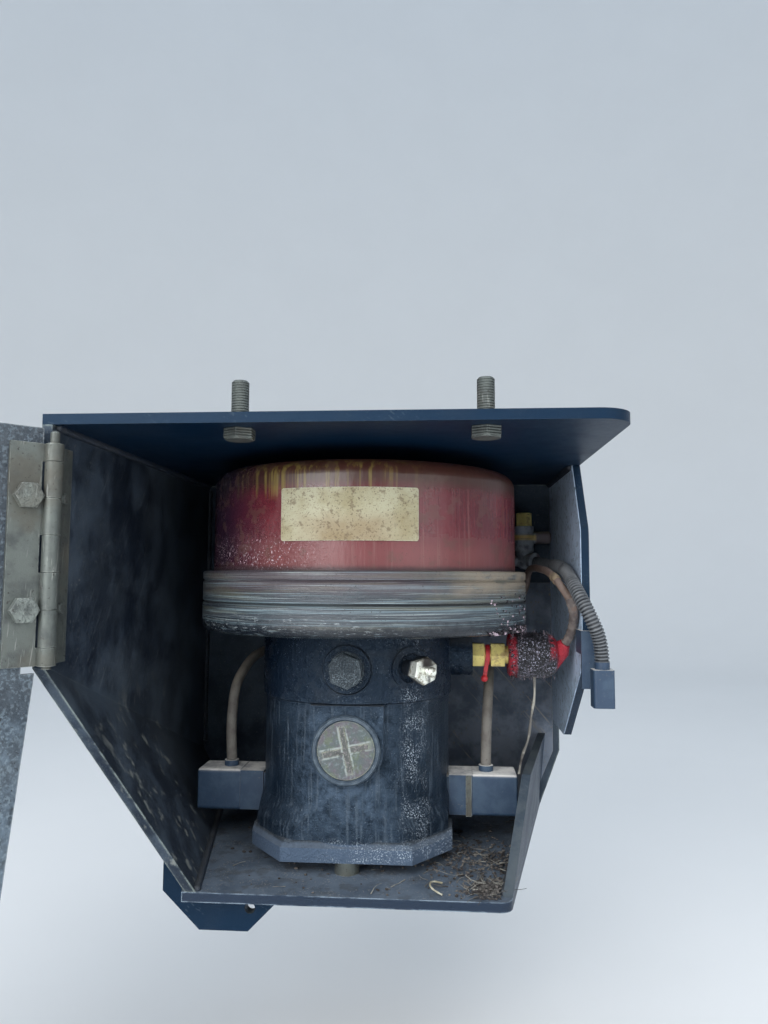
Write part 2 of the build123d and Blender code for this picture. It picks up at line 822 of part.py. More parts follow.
def pump_feet():
    """Spacers under the flange, each with its bolt. The rear ones go through to a nut on the flange."""
    feet = []
    for place in foot_places():
        at_front = place == foot_places()[0]
        top = flange_top_z - foot_front_cover if at_front else flange_top_z
        foot = rod((*place, shelf_z), (0, 0, 1), foot_spacer_d, pump_lift)
        foot += rod((*place, shelf_z - plate), (0, 0, 1), foot_bolt_d, top - shelf_z + plate)
        foot += hex_head((*place, shelf_z - plate), (0, 0, -1), foot_head_af, foot_head_h)
        if not at_front:
            foot += hex_head((*place, top), (0, 0, 1), foot_head_af, foot_head_h)
        feet.append(foot)
    return Compound(feet)


def retaining_ring():
    """The ring that holds the reservoir down on the pump's head disc."""
    outer = ring_d / 2
    bore = reservoir_d / 2 + ring_play
    neck = collar_r + abs(reservoir_x - pump_x) + 1
    lip = ring_h - ring_lip_h
    profile = [(neck, 0), (outer, 0)]
    for groove in (ring_seam_rise, lip):
        profile.append((outer, groove - ring_groove))
        profile.append((outer - ring_groove, groove))
        profile.append((outer, groove + ring_groove))
    profile += [
        (outer, ring_h - ring_top_bevel),
        (outer - ring_top_bevel, ring_h),
        (bore, ring_h),
        (bore, ring_floor_t),
        (neck, ring_floor_t),
    ]
    ring = turned(profile, (reservoir_x, pump_y, ring_z), (0, 0, 1))
    return fillet(ring.edges().group_by(Axis.Z)[0].sort_by(SortBy.LENGTH)[-1], ring_foot_r)


def reservoir():
    """The clear cup, closed and rounded at the top, open over the head disc."""
    cup = rod((reservoir_x, pump_y, cup_z), (0, 0, 1), reservoir_d, reservoir_h)
    cup = fillet(cup.edges().sort_by(Axis.Z)[-1], reservoir_round_r)
    inner_d = reservoir_d - 2 * reservoir_wall
    inside = rod((reservoir_x, pump_y, cup_z - 1), (0, 0, 1), inner_d, reservoir_h + 1 - reservoir_wall)
    return cup - fillet(inside.edges().sort_by(Axis.Z)[-1], reservoir_round_r - reservoir_wall)


def grease():
    foot = cup_z + head_disc_t
    d = reservoir_d - 2 * (reservoir_wall + grease_gap)
    return rod((reservoir_x, pump_y, foot), (0, 0, 1), d, cup_top_z - grease_drop - foot)


def reservoir_label():
    low = cup_top_z - label_drop - label_height / 2
    inner_d = reservoir_d + 2 * label_gap
    film = rod((reservoir_x, pump_y, low), (0, 0, 1), inner_d + 2 * label_t, label_height)
    film -= rod((reservoir_x, pump_y, low - 1), (0, 0, 1), inner_d, label_height + 2)
    half = label_width / 2
    window = block(reservoir_x - half, reservoir_x + half, pump_y - inner_d, pump_y, low, low + label_height)
    return film & fillet(window.edges().filter_by(Axis.Y), label_r)


def sight_ring():
    bore = sight_glass_d / 2 + sight_play
    outer = sight_d / 2
    profile = [
        (bore, 0),
        (outer, 0),
        (outer, sight_ring_t - sight_ring_bevel),
        (outer - sight_ring_bevel, sight_ring_t),
        (bore + sight_ring_bevel, sight_ring_t),
        (bore, sight_ring_t - sight_ring_bevel),
    ]
    return turned(profile, (pump_x, front_feature_y, sight_z), (0, -1, 0))


def sight_glass():
    """The clear window with its moulded cross."""
    glass = rod((pump_x, front_feature_y, sight_z), (0, -1, 0), sight_glass_d, sight_dome)
    half = sight_glass_d / 2 - sight_rib
    rib = sight_rib / 2
    face = front_feature_y - sight_dome
    cross = block(-half, half, face - sight_rib_t, face, -rib, rib)
    cross += block(-rib, rib, face - sight_rib_t, face, -half, half)
    return glass + Pos(pump_x, 0, sight_z) * Rot(0, sight_turn_deg, 0) * cross


def hex_plug():
    washer = rod((pump_x, plug_seat_y, plug_z), (0, -1, 0), plug_af + 2 * plug_washer_out, plug_washer)
    head_seat = (pump_x, plug_seat_y - plug_washer, plug_z)
    return washer + hex_head(head_seat, (0, -1, 0), plug_af, plug_h, plug_turn_deg)


def filler_nipple():
    """The grease nipple in the slanting boss: base, hexagon, neck and ball."""
    base = rod(filler_seat(), filler_way(), nipple_base_d, nipple_base_t)
    seat = filler_seat() + filler_way() * nipple_base_t
    ball = nipple_neck_d / 2
    profile = [
        (0, 0),
        (0.94 * ball, 0),
        (0.94 * ball, 3),
        (0.69 * ball, 4),
        (ball, 5.5),
        (ball, 6.5),
        (0.62 * ball, 8),
        (0, 8),
    ]
    neck = turned(profile, seat + filler_way() * nipple_hex_t, filler_way())
    return base + hex_head(seat, filler_way(), nipple_af, nipple_hex_t, nipple_turn_deg) + neck


# Pressure switch on the body's right side
def switch_fittings():
    """Two brass hexagons with a neck between them and a rim under the boot."""
    hex2_x = neck_x + switch_neck_t
    body = hex_head((boss_x, pump_y, switch_z), (1, 0, 0), switch_hex_af, switch_hex_t)
    body += rod((boss_x, pump_y, switch_z), (1, 0, 0), switch_neck_d, hex2_x - boss_x)
    body += hex_bar((hex2_x, pump_y, switch_z), (1, 0, 0), switch_hex_af, switch_hex2_t)
    return body + rod((hex2_x, pump_y, switch_z), (1, 0, 0), switch_rim_d, boot_x - hex2_x)


def switch_boot():
    """The rubber cap over the switch, with a collar at its mouth and a nose that leans to the lead."""
    r = boot_d / 2
    profile = [
        (0, 0),
        (r - 2.5, 0),
        (r - 1, 1.5),
        (r - 1, 4.5),
        (r, 6),
        (r, boot_length - 7),
        (r - 2.5, boot_length - 2),
        (r - 5, boot_length),
        (0, boot_length),
    ]
    nose = [
        (0, -boot_nose_sink),
        (boot_nose_d / 2, -boot_nose_sink),
        (boot_nose_d / 2, boot_nose_length / 2),
        (boot_nose_end_d / 2, boot_nose_length),
        (0, boot_nose_length),
    ]
    body = turned(profile, (boot_x, pump_y, switch_z), (1, 0, 0))
    return body + turned(nose, (boot_end_x, pump_y, switch_z), nose_way)


def boot_strap():
    """The rubber strap that hangs from the switch's neck, with a knob at its end."""
    bore = switch_neck_d / 2 + strap_play
    x0 = neck_x + (switch_neck_t - strap_w) / 2
    loop = rod((x0, pump_y, switch_z), (1, 0, 0), 2 * (bore + strap_t), strap_w)
    loop -= rod((x0 - 1, pump_y, switch_z), (1, 0, 0), 2 * bore, strap_w + 2)
    end_z = switch_z - strap_tail
    end_x = x0 - strap_tail_drift
    outline = [(x0, switch_z), (x0 + strap_w, switch_z), (end_x + strap_w, end_z), (end_x, end_z)]
    tail = prism_y(outline, pump_y - bore - strap_t, pump_y - bore)
    knob_y = pump_y - bore - strap_t / 2
    return loop + tail + Pos(end_x + strap_w / 2, knob_y, end_z) * Sphere(strap_knob_d / 2)


# Valve connectors, the same piece at each side
def connector(side):
    half = connector_size / 2
    x0 = pump_x + side * connector_reach
    x_gasket = x0 + side * connector_gasket_t
    x_seam = x_gasket + side * connector_seam
    x1 = pump_x + side * connector_end
    inset = half - connector_gasket_t
    low, high = connector_z - inset, connector_z + inset
    gasket = block(*sorted((x0, x_gasket)), pump_y - inset, pump_y + inset, low, high)
    low, high = connector_z - half, connector_z + half
    inner = block(*sorted((x_gasket, x_seam)), pump_y - half, pump_y + half, low, high)
    low, high = connector_z - connector_half, connector_z + connector_half
    outer = block(*sorted((x_seam, x1)), pump_y - connector_half, pump_y + connector_half, low, high)
    outer = fillet(outer.edges().filter_by(Axis.X), connector_edge_r)
    outer = fillet(outer.faces().sort_by(Axis.X)[-1 if side > 0 else 0].edges(), connector_edge_r / 2)
    entry_x = x0 + side * connector_entry_out
    entry = rod((entry_x, pump_y, high - 1), (0, 0, 1), connector_entry_d, connector_entry_h + 1)
    return gasket + inner + outer + entry


def connector_clip():
    """The spring strip over the right connector's front and foot, beside its seam."""
    seam_x = pump_x + connector_reach + connector_gasket_t + connector_seam
    x1 = seam_x - connector_clip_inset
    x0 = x1 - connector_clip_w
    y = pump_y - connector_size / 2
    low = connector_z - connector_size / 2
    front = block(x0, x1, y - connector_clip_t, y, low - connector_clip_t, connector_z + connector_size / 2)
    return front + block(x0, x1, y, pump_y, low - connector_clip_t, low)


# Cable fitting on the back plate, beside the reservoir
def cable_fitting():
    """Body and pin on a foot, with an elbow below that turns to the conduit and takes the switch's lead."""
    nut_foot = fitting_z + fitting_h
    body = rod((fitting_x, fitting_y, fitting_z), (0, 0, 1), fitting_d, fitting_h)
    band = rod((fitting_x, fitting_y, fitting_z + fitting_h / 2), (0, 0, 1), fitting_band_d, fitting_h / 6)
    pin_z = fitting_z + fitting_pin_rise
    pin = rod((fitting_x, fitting_y, pin_z), (1, 0, 0), fitting_pin_d, fitting_pin_out + fitting_d / 2)
    pin = fillet(pin.edges().sort_by(Axis.X)[-1], fitting_pin_d / 4)
    half = fitting_foot_w / 2
    foot_x = (fitting_x - half, fitting_x + half)
    foot = block(*foot_x, fitting_y, inner_rear_y, fitting_z + half, nut_foot - half / 3)
    drop = rod((fitting_x, fitting_y, elbow_z), (0, 0, 1), elbow_d, elbow_drop)
    turn = Pos(*elbow) * Sphere(elbow_d / 2)
    barrel = rod(elbow, elbow_way, elbow_d, elbow_length)
    lip = rod(elbow_end, -elbow_way, elbow_lip_d, elbow_lip_t)
    port = rod(elbow, (-1, 0, 0), elbow_port_d, elbow_port_out)
    return body + band + pin + foot + drop + turn + barrel + lip + port


def cable_fitting_nut():
    return hex_head((fitting_x, fitting_y, fitting_z + fitting_h), (0, 0, 1), fitting_nut_af, fitting_nut_h)


# Leads and what holds them
def lead_clips():
    """Saddles over the valve lead, each with a tab and a screw on the backing plate."""
    clips = []
    bore = valve_lead_d / 2 + clip_play
    outer = bore + clip_wall
    for step in clip_spread:
        centre = rear_clip + Vector(step, 0, 0)
        x0, x1 = centre.X - clip_w / 2, centre.X + clip_w / 2
        saddle = rod((x0, centre.Y, centre.Z), (1, 0, 0), 2 * outer, clip_w)
        saddle += block(x0, x1, centre.Y, backing_y, centre.Z - outer, centre.Z + outer)
        saddle &= block(x0, x1, centre.Y - outer, backing_y, centre.Z - outer, centre.Z + outer)
        saddle -= rod((x0 - 1, centre.Y, centre.Z), (1, 0, 0), 2 * bore, clip_w + 2)
        saddle -= block(x0 - 1, x1 + 1, centre.Y, backing_y + 1, centre.Z - bore, centre.Z + bore)
        tab_top = centre.Z + outer + clip_tab_h
        tab = block(x0, x1, backing_y - clip_tab_t, backing_y, centre.Z + outer - 1, tab_top)
        screw = (centre.X, backing_y - clip_tab_t, tab_top - clip_w / 2)
        clips.append(saddle + tab + hex_head(screw, (0, -1, 0), clip_screw_af, clip_screw_h))
    return Compound(clips)


def conduit_plug():
    """The conduit's end plug, with jaws that grip the right wall's front edge."""
    half = conduit_plug_w / 2
    top = conduit_plug_z - conduit_plug_neck_h
    box = block(
        plug_top.X - half, plug_top.X + half,
        plug_top.Y - half, plug_top.Y + half,
        conduit_plug_z - conduit_plug_h, top,
    )
    box = fillet(box.edges().filter_by(Axis.Z), conduit_plug_r)
    neck_d = conduit_plug_w - 2 * conduit_plug_r
    neck = rod((plug_top.X, plug_top.Y, top), (0, 0, 1), neck_d, conduit_plug_neck_h)
    spine_y = plug_top.Y + half
    jaw_top = conduit_plug_z + jaw_rise
    jaw_end = right_edge_y + jaw_grip
    left, right = inner_right_x - jaw_play, right_x + jaw_play
    spine_foot = top - conduit_plug_w
    spine_depth = (spine_y - spine_t / 2, spine_y + spine_t / 2)
    spine = block(left - jaw_t, right + jaw_t, *spine_depth, spine_foot, jaw_top)
    inner = block(left - jaw_t, left, spine_y, jaw_end, jaw_top - jaw_h, jaw_top)
    outer = block(right, right + jaw_t, spine_y, jaw_end, jaw_top - jaw_h, jaw_top)
    return box + neck + spine + inner + outer


pieces = {
    "top_plate": top_plate(),
    "mount_bolts": mount_bolts(),
    "left_wall": left_wall(),
    "right_wall": right_wall(),
    "back_plate": back_plate(),
    "backing_plate": backing_plate(),
    "shelf": shelf(),
    "side_gusset": side_gusset(),
    "lug": lug(),
    "hinge_wall_leaf": hinge_wall_leaf(),
    "hinge_pin": hinge_pin(),
    "hinge_wall_bolts": hinge_wall_bolts(),
    "hinge_door_leaf": hinge_door_leaf(),
    "hinge_door_bolts": hinge_door_bolts(),
    "door_panel": door_panel(),
    "pump_body": pump_body(),
    "pump_feet": pump_feet(),
    "retaining_ring": retaining_ring(),
    "reservoir": reservoir(),
    "grease": grease(),
    "reservoir_label": reservoir_label(),
    "sight_ring": sight_ring(),
    "sight_glass": sight_glass(),
    "hex_plug": hex_plug(),
    "filler_nipple": filler_nipple(),
    "switch_fittings": switch_fittings(),
    "switch_boot": switch_boot(),
    "boot_strap": boot_strap(),
    "connector_left": connector(-1),
    "connector_right": connector(1),
    "connector_clip": connector_clip(),
    "cable_fitting": cable_fitting(),
    "cable_fitting_nut": cable_fitting_nut(),
    "lead_clips": lead_clips(),
    "valve_lead": lead(valve_route, valve_lead_d),
    "switch_lead": lead(switch_route, switch_lead_d),
    "conduit": lead(conduit_route, conduit_d),
    "conduit_plug": conduit_plug(),
}

os.makedirs("parts", exist_ok=True)
for name, piece in pieces.items():
    export_step(piece, os.path.join("parts", name + ".step"))
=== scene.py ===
"""Finishes, welds, grease and litter for a grease pump on its hanging bracket, with its studio and camera."""

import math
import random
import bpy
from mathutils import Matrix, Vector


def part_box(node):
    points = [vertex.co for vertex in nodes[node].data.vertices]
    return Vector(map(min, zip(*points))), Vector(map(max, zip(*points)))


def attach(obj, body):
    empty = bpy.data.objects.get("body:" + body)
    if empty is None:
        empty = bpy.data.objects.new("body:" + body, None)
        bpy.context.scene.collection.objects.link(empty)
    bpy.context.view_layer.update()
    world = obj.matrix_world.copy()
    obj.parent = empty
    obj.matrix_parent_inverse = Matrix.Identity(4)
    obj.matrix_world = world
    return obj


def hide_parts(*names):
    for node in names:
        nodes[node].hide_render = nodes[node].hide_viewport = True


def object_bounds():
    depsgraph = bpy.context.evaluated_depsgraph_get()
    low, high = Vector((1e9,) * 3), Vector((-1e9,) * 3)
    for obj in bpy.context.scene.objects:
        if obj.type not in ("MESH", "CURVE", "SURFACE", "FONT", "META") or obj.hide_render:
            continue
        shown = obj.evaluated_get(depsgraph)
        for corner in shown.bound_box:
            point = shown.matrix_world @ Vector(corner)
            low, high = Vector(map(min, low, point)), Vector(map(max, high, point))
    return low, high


bl_info = {
    "name": "Grease pump on hanging bracket",
    "version": (1, 0, 0),
    "blender": (4, 5, 0),
    "location": "3D View > Sidebar > Grease pump",
    "description": "Dresses the packed model of a grease pump that stands in a hanging bracket",
    "category": "Object",
}

import bpy
from bpy.props import FloatProperty, FloatVectorProperty, IntProperty, PointerProperty
from mathutils import Matrix, Vector

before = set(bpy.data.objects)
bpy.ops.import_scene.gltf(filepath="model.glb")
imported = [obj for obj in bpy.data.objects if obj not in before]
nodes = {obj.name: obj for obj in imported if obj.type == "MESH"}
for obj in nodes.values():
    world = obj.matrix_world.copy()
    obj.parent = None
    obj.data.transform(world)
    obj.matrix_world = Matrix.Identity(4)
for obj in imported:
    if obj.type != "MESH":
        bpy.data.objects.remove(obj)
cad_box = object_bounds()

MM = 0.001
SKY_SHEEN = (0.6, 0.8, 1.0, 1.0)  # tint of what dark paint reflects

effects, finishes = {}, {}  # the node groups and materials made below, by name


def middle(name):
    """The centre of a CAD node's box."""
    low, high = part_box(name)
    return (Vector(low) + Vector(high)) / 2


# Node helpers


def add_node(tree, kind, inputs=None, **settings):
    """A node of a kind, with its settings, and with its inputs set or linked."""
    made = tree.nodes.new(kind)
    for name, value in settings.items():
        setattr(made, name, value)
    for key, value in (inputs or {}).items():
        if isinstance(value, bpy.types.NodeSocket):
            tree.links.new(value, made.inputs[key])
        else:
            made.inputs[key].default_value = value
    return made


def maths(tree, operation, *values):
    """The output of a Math node."""
    return add_node(tree, "ShaderNodeMath", dict(enumerate(values)), operation=operation).outputs[0]


def vector_maths(tree, operation, *values):
    """The output of a Vector Math node, a vector or a dot product."""
    made = add_node(tree, "ShaderNodeVectorMath", dict(enumerate(values)), operation=operation)
    return made.outputs["Value" if operation == "DOT_PRODUCT" else "Vector"]


def ramp(tree, value, low, high):
    """A value brought smoothly from low and high to 0 and 1."""
    inputs = {"Value": value, "From Min": low, "From Max": high}
    return add_node(tree, "ShaderNodeMapRange", inputs, interpolation_type="SMOOTHSTEP").outputs["Result"]


def cloud(tree, place, scale, detail=6.0, roughness=0.6):
    """The value of a noise texture."""
    inputs = {"Vector": place, "Scale": scale, "Detail": detail, "Roughness": roughness}
    return add_node(tree, "ShaderNodeTexNoise", inputs).outputs[0]


def object_place(tree):
    """The point on the piece, in metres."""
    return tree.nodes.new("ShaderNodeTexCoord").outputs["Object"]


def mixed(tree, factor, ground, top, data_type):
    """A colour or a value laid over another by a mask."""
    first = {"FLOAT": 2, "RGBA": 6}[data_type]
    made = add_node(tree, "ShaderNodeMix", {0: factor, first: ground, first + 1: top}, data_type=data_type)
    return made.outputs[0 if data_type == "FLOAT" else 2]


# Shared effects, each a node group that puts out one mask


def effect(name, build, **sockets):
    """Adds a node group with named inputs, whose mask is worked out by a function."""
    tree = effects[name] = bpy.data.node_groups.new(name, "ShaderNodeTree")
    for socket, value in sockets.items():
        kind = "NodeSocketVector" if isinstance(value, tuple) else "NodeSocketFloat"
        tree.interface.new_socket(socket, in_out="INPUT", socket_type=kind).default_value = value
    tree.interface.new_socket("Mask", in_out="OUTPUT", socket_type="NodeSocketFloat")
    mask = build(tree, tree.nodes.new("NodeGroupInput").outputs)
    tree.links.new(mask, tree.nodes.new("NodeGroupOutput").inputs["Mask"])


def blotch_mask(tree, given):
    """Patches between two levels of a noise, which may be drawn out along an axis."""
    stretched = vector_maths(tree, "MULTIPLY", object_place(tree), given["Stretch"])
    return ramp(tree, cloud(tree, stretched, given["Scale"], 8.0, 0.62), given["Low"], given["High"])


def dust_mask(tree, given):
    """Dust that lies on what faces up, thicker in patches."""
    normal = add_node(tree, "ShaderNodeNewGeometry").outputs["Normal"]
    up = add_node(tree, "ShaderNodeSeparateXYZ", {0: normal}).outputs["Z"]
    flat = ramp(tree, up, 0.35, 0.95)
    patch = ramp(tree, cloud(tree, object_place(tree), given["Scale"], 8.0, 0.68), 0.3, 0.62)
    spread = maths(tree, "MULTIPLY_ADD", patch, 0.55, 0.45)
    return maths(tree, "MULTIPLY", maths(tree, "MULTIPLY", flat, spread), given["Amount"])


def edge_mask(tree, given):
    """Wear along edges, broken up by a noise."""
    rounded = add_node(tree, "ShaderNodeBevel", {"Radius": given["Radius"]}, samples=4).outputs[0]
    normal = add_node(tree, "ShaderNodeNewGeometry").outputs["Normal"]
    edge = ramp(tree, vector_maths(tree, "DOT_PRODUCT", rounded, normal), 0.99, 0.8)
    broken = ramp(tree, cloud(tree, object_place(tree), given["Scale"], 7.0, 0.7), 0.36, 0.58)
    return maths(tree, "MULTIPLY", edge, broken)


def speckle_mask(tree, given):
    """Small separate specks that gather in patches."""
    place = object_place(tree)
    fine = cloud(tree, place, given["Scale"], 3.0, 0.7)
    level = maths(tree, "SUBTRACT", 0.75, given["Cover"])
    spots = ramp(tree, fine, level, maths(tree, "ADD", level, 0.04))
    patch = ramp(tree, cloud(tree, place, maths(tree, "DIVIDE", given["Scale"], 14.0), 4.0), 0.36, 0.6)
    return maths(tree, "MULTIPLY", spots, patch)


def scratch_mask(tree, given):
    """Thin scratches that run one way."""
    turned = add_node(tree, "ShaderNodeMapping", {"Vector": object_place(tree), "Rotation": given["Turn"]})
    drawn = vector_maths(tree, "MULTIPLY", turned.outputs[0], (1.0, 1.0, 0.03))
    lines = ramp(tree, cloud(tree, drawn, given["Scale"], 2.0, 0.4), 0.64, 0.68)
    gaps = ramp(tree, cloud(tree, object_place(tree), 34.0, 3.0), 0.44, 0.6)
    return maths(tree, "MULTIPLY", lines, gaps)


def zone_mask(tree, given):
    """A soft-edged room about a centre: 1 inside, 0 outside."""
    step = vector_maths(tree, "SUBTRACT", object_place(tree), given["Centre"])
    turned = add_node(tree, "ShaderNodeMapping", {"Vector": step, "Rotation": given["Turn"]}).outputs[0]
    size = vector_maths(tree, "ABSOLUTE", vector_maths(tree, "DIVIDE", turned, given["Half"]))
    parts = add_node(tree, "ShaderNodeSeparateXYZ", {0: size}).outputs
    most = maths(tree, "MAXIMUM", maths(tree, "MAXIMUM", parts[0], parts[1]), parts[2])
    ragged = maths(tree, "SUBTRACT", cloud(tree, object_place(tree), 90.0, 5.0), 0.5)
    most = maths(tree, "MULTIPLY_ADD", ragged, given["Ragged"], most)
    outer, inner = (maths(tree, way, 1.0, given["Soft"]) for way in ("ADD", "SUBTRACT"))
    return ramp(tree, most, outer, inner)


def groove_mask(tree, given):
    """Even grooves across a direction, as on a thread."""
    along = vector_maths(tree, "DOT_PRODUCT", object_place(tree), given["Along"])
    turns = maths(tree, "DIVIDE", along, given["Pitch"])
    wave = maths(tree, "SINE", maths(tree, "MULTIPLY", turns, math.tau))
    return maths(tree, "MULTIPLY_ADD", wave, 0.5, 0.5)


def crest_mask(tree, given):
    """The crests of a ribbed tube, as its mesh says."""
    return add_node(tree, "ShaderNodeAttribute", attribute_name="crest").outputs["Fac"]


def make_effects():
    """Adds all shared effects, with their usual inputs."""
    none, whole = (0.0, 0.0, 0.0), (1.0, 1.0, 1.0)
    effect("blotch", blotch_mask, Scale=30.0, Low=0.45, High=0.65, Stretch=whole)
    effect("dust", dust_mask, Amount=0.8, Scale=60.0)
    effect("edge", edge_mask, Radius=1.2 * MM, Scale=140.0)
    effect("speckle", speckle_mask, Scale=900.0, Cover=0.1)
    effect("scratch", scratch_mask, Scale=700.0, Turn=none)
    effect("zone", zone_mask, Centre=none, Turn=none, Half=whole, Soft=0.15, Ragged=0.0)
    effect("crest", crest_mask)
    effect("groove", groove_mask, Along=(0.0, 0.0, 1.0), Pitch=1.25 * MM)


# Masks to name in a finish: an effect and its inputs. Lengths are in mm.


def blotches(scale, low, high, stretch=(1, 1, 1)):
    """Patches between two levels of a noise."""
    return "blotch", {"Scale": scale, "Low": low, "High": high, "Stretch": stretch}


def dusting(amount, scale=60):
    """Dust on what faces up."""
    return "dust", {"Amount": amount, "Scale": scale}


def edges(radius, scale=140):
    """Wear along edges."""
    return "edge", {"Radius": radius * MM, "Scale": scale}


def speckles(scale, cover):
    """Small specks."""
    return "speckle", {"Scale": scale, "Cover": cover}


def scratches(scale, turn):
    """Scratches, turned by three angles in radians."""
    return "scratch", {"Scale": scale, "Turn": turn}


def zone(centre, half, soft=0.15, ragged=0.0, turn=(0, 0, 0)):
    """A room about a centre, by its half sizes."""
    centre, half = (tuple(part * MM for part in sizes) for sizes in (centre, half))
    return "zone", {"Centre": centre, "Half": half, "Soft": soft, "Ragged": ragged, "Turn": turn}


def pits(scale, depth, low=0.3, high=0.7, stretch=(1, 1, 1)):
    """A bump by blotches, with its depth."""
    return [blotches(scale, low, high, stretch)], depth * MM


def combined(tree, masks):
    """Several masks multiplied together. A plain number scales them."""
    result = None
    for mask in masks:
        if isinstance(mask, (int, float)):
            value = float(mask)
        else:
            name, inputs = mask
            group = add_node(tree, "ShaderNodeGroup", inputs, node_tree=effects[name])
            value = group.outputs["Mask"]
        result = value if result is None else maths(tree, "MULTIPLY", result, value)
    return result


def finish(name, colour, roughness, layers, bumps, metallic=0.0, **plain):
    """Adds a material: ground, layers of masks, colour, roughness and metallic, bumps of masks and depth."""
    material = finishes[name] = bpy.data.materials.new(name)
    material.use_nodes = True
    tree = material.node_tree
    shader = tree.nodes["Principled BSDF"]
    channels = {
        "Base Color": ("RGBA", (*colour, 1.0)),
        "Roughness": ("FLOAT", roughness),
        "Metallic": ("FLOAT", metallic),
    }
    for layer in layers:
        masks, layer_colour, *rest = layer
        mask = combined(tree, masks)
        wanted = {"Base Color": (*layer_colour, 1.0)}
        wanted.update(zip(("Roughness", "Metallic"), rest))
        for channel, value in wanted.items():
            kind, ground = channels[channel]
            if ground != value:
                channels[channel] = (kind, mixed(tree, mask, ground, value, kind))
    for channel, (kind, value) in channels.items():
        if isinstance(value, bpy.types.NodeSocket):
            tree.links.new(value, shader.inputs[channel])
        else:
            shader.inputs[channel].default_value = value
    normal = None
    for masks, depth in bumps:
        inputs = {"Height": combined(tree, masks), "Distance": abs(depth), "Strength": 1.0}
        if normal is not None:
            inputs["Normal"] = normal
        normal = add_node(tree, "ShaderNodeBump", inputs, invert=depth < 0).outputs[0]
    if normal is not None:
        tree.links.new(normal, shader.inputs["Normal"])
    for socket, value in plain.items():
        shader.inputs[socket.replace("_", " ")].default_value = value


# Modelling helpers


def edit(action="SELECT"):
    """Edit mode, with the whole mesh selected or not."""
    bpy.ops.object.mode_set(mode="EDIT")
    bpy.ops.mesh.select_all(action=action)


def leave_edit():
    """Back to object mode."""
    bpy.ops.object.mode_set(mode="OBJECT")


def start_clean():
    """Nothing selected, in object mode."""
    if bpy.context.object and bpy.context.object.mode != "OBJECT":
        leave_edit()
    bpy.ops.object.select_all(action="DESELECT")


def pick(*pieces):
    """Selects only these pieces and makes the first active."""
    start_clean()
    for piece in pieces:
        piece.select_set(True)
    bpy.context.view_layer.objects.active = pieces[0]


def settle(piece, name, finish_name, body="bracket"):
    """Names a piece, dresses it, puts its place into its mesh and lets it ride on a body."""
    pick(piece)
    bpy.ops.object.transform_apply(location=True, rotation=True, scale=True)
    piece.name = name
    piece.data.name = name
    piece.data.materials.clear()
    piece.data.materials.append(finishes[finish_name])
    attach(piece, body)


def copies_of(pattern, places):
    """One piece of copies of a pattern, one at each matrix. The pattern itself goes away."""
    made = []
    for place in places:
        copy = pattern.copy()
        copy.data = pattern.data.copy()
        copy.data.transform(place)
        bpy.context.collection.objects.link(copy)
        made.append(copy)
    pick(pattern)
    bpy.ops.object.delete()
    pick(*made)
    bpy.ops.object.join()
    return bpy.context.object


def lying(place, direction, size=(1.0, 1.0, 1.0), turn=0.0):
    """A matrix that puts a pattern at a place with its Z along a direction."""
    way = Vector(direction).to_track_quat("Z", "Y").to_matrix().to_4x4()
    spin = Matrix.Rotation(turn, 4, "Z")
    return Matrix.Translation(place) @ way @ spin @ Matrix.Diagonal((*size, 1.0))


def speck():
    """A low, lumpy ball to be copied as a crumb."""
    start_clean()
    bpy.ops.mesh.primitive_ico_sphere_add(subdivisions=1, radius=1.0)
    piece = bpy.context.object
    edit()
    bpy.ops.transform.vertex_random(offset=0.28, seed=3)
    leave_edit()
    return piece


def straw():
    """A thin bent stalk one unit long, to be copied as a needle."""
    start_clean()
    half = 0.5
    bpy.ops.mesh.primitive_cone_add(
        vertices=5, radius1=0.03, radius2=0.012, depth=half, location=(0, 0, half / 2)
    )
    bpy.ops.object.transform_apply(location=True)
    piece = bpy.context.object
    edit("DESELECT")
    leave_edit()
    for face in piece.data.polygons:
        face.select = face.normal.z > 0.9  # the thin end
    bpy.ops.object.mode_set(mode="EDIT")
    bpy.ops.mesh.extrude_region_move(TRANSFORM_OT_translate={"value": (0.08, 0.0, 0.3)})
    bpy.ops.mesh.extrude_region_move(TRANSFORM_OT_translate={"value": (0.13, 0.02, 0.2)})
    leave_edit()
    return piece


# Sizes and colours that a user would change


def colour_of(name, about, default):
    """A colour for the sidebar."""
    return FloatVectorProperty(name=name, description=f"Colour of {about}", subtype="COLOR", default=default)


def count_of(name, about, default):
    """A number of pieces for the sidebar."""
    return IntProperty(name=name, description=about, default=default, min=1)


class BracketLook(bpy.types.PropertyGroup):
    paint: colour_of("Paint", "the bracket's paint", (0.003, 0.015, 0.037))
    # Colour of the right wall's inner face: worn blue-grey paint, made much paler as painted sky light.
    wall: colour_of("Right wall", "the right wall", (0.5, 0.62, 0.78))
    dust: colour_of("Dust", "dry dust", (0.11, 0.125, 0.13))
    dust_amount: FloatProperty(
        name="Dust", description="How thick the dust lies", default=0.85, min=0.0, max=1.0, subtype="FACTOR"
    )
    bead: FloatProperty(
        name="Weld bead", description="Radius of the weld beads", default=2.8 * MM, unit="LENGTH", precision=4
    )


class PumpLook(bpy.types.PropertyGroup):
    cast: colour_of("Casting", "the pump body", (0.003, 0.008, 0.017))
    grease: colour_of("Grease", "the grease in the cup", (0.2, 0.012, 0.024))
    ring: colour_of("Ring", "the retaining ring", (0.05, 0.062, 0.076))
    brass: colour_of("Brass", "the brass fittings", (0.92, 0.78, 0.28))
    granule_count: count_of("Granules", "Grease grains on the plug", 300)
    bristle_count: count_of("Bristles", "Greasy tufts on the boot", 520)
    fringe_count: count_of("Fringe", "Greasy specks on the ring's right end", 160)


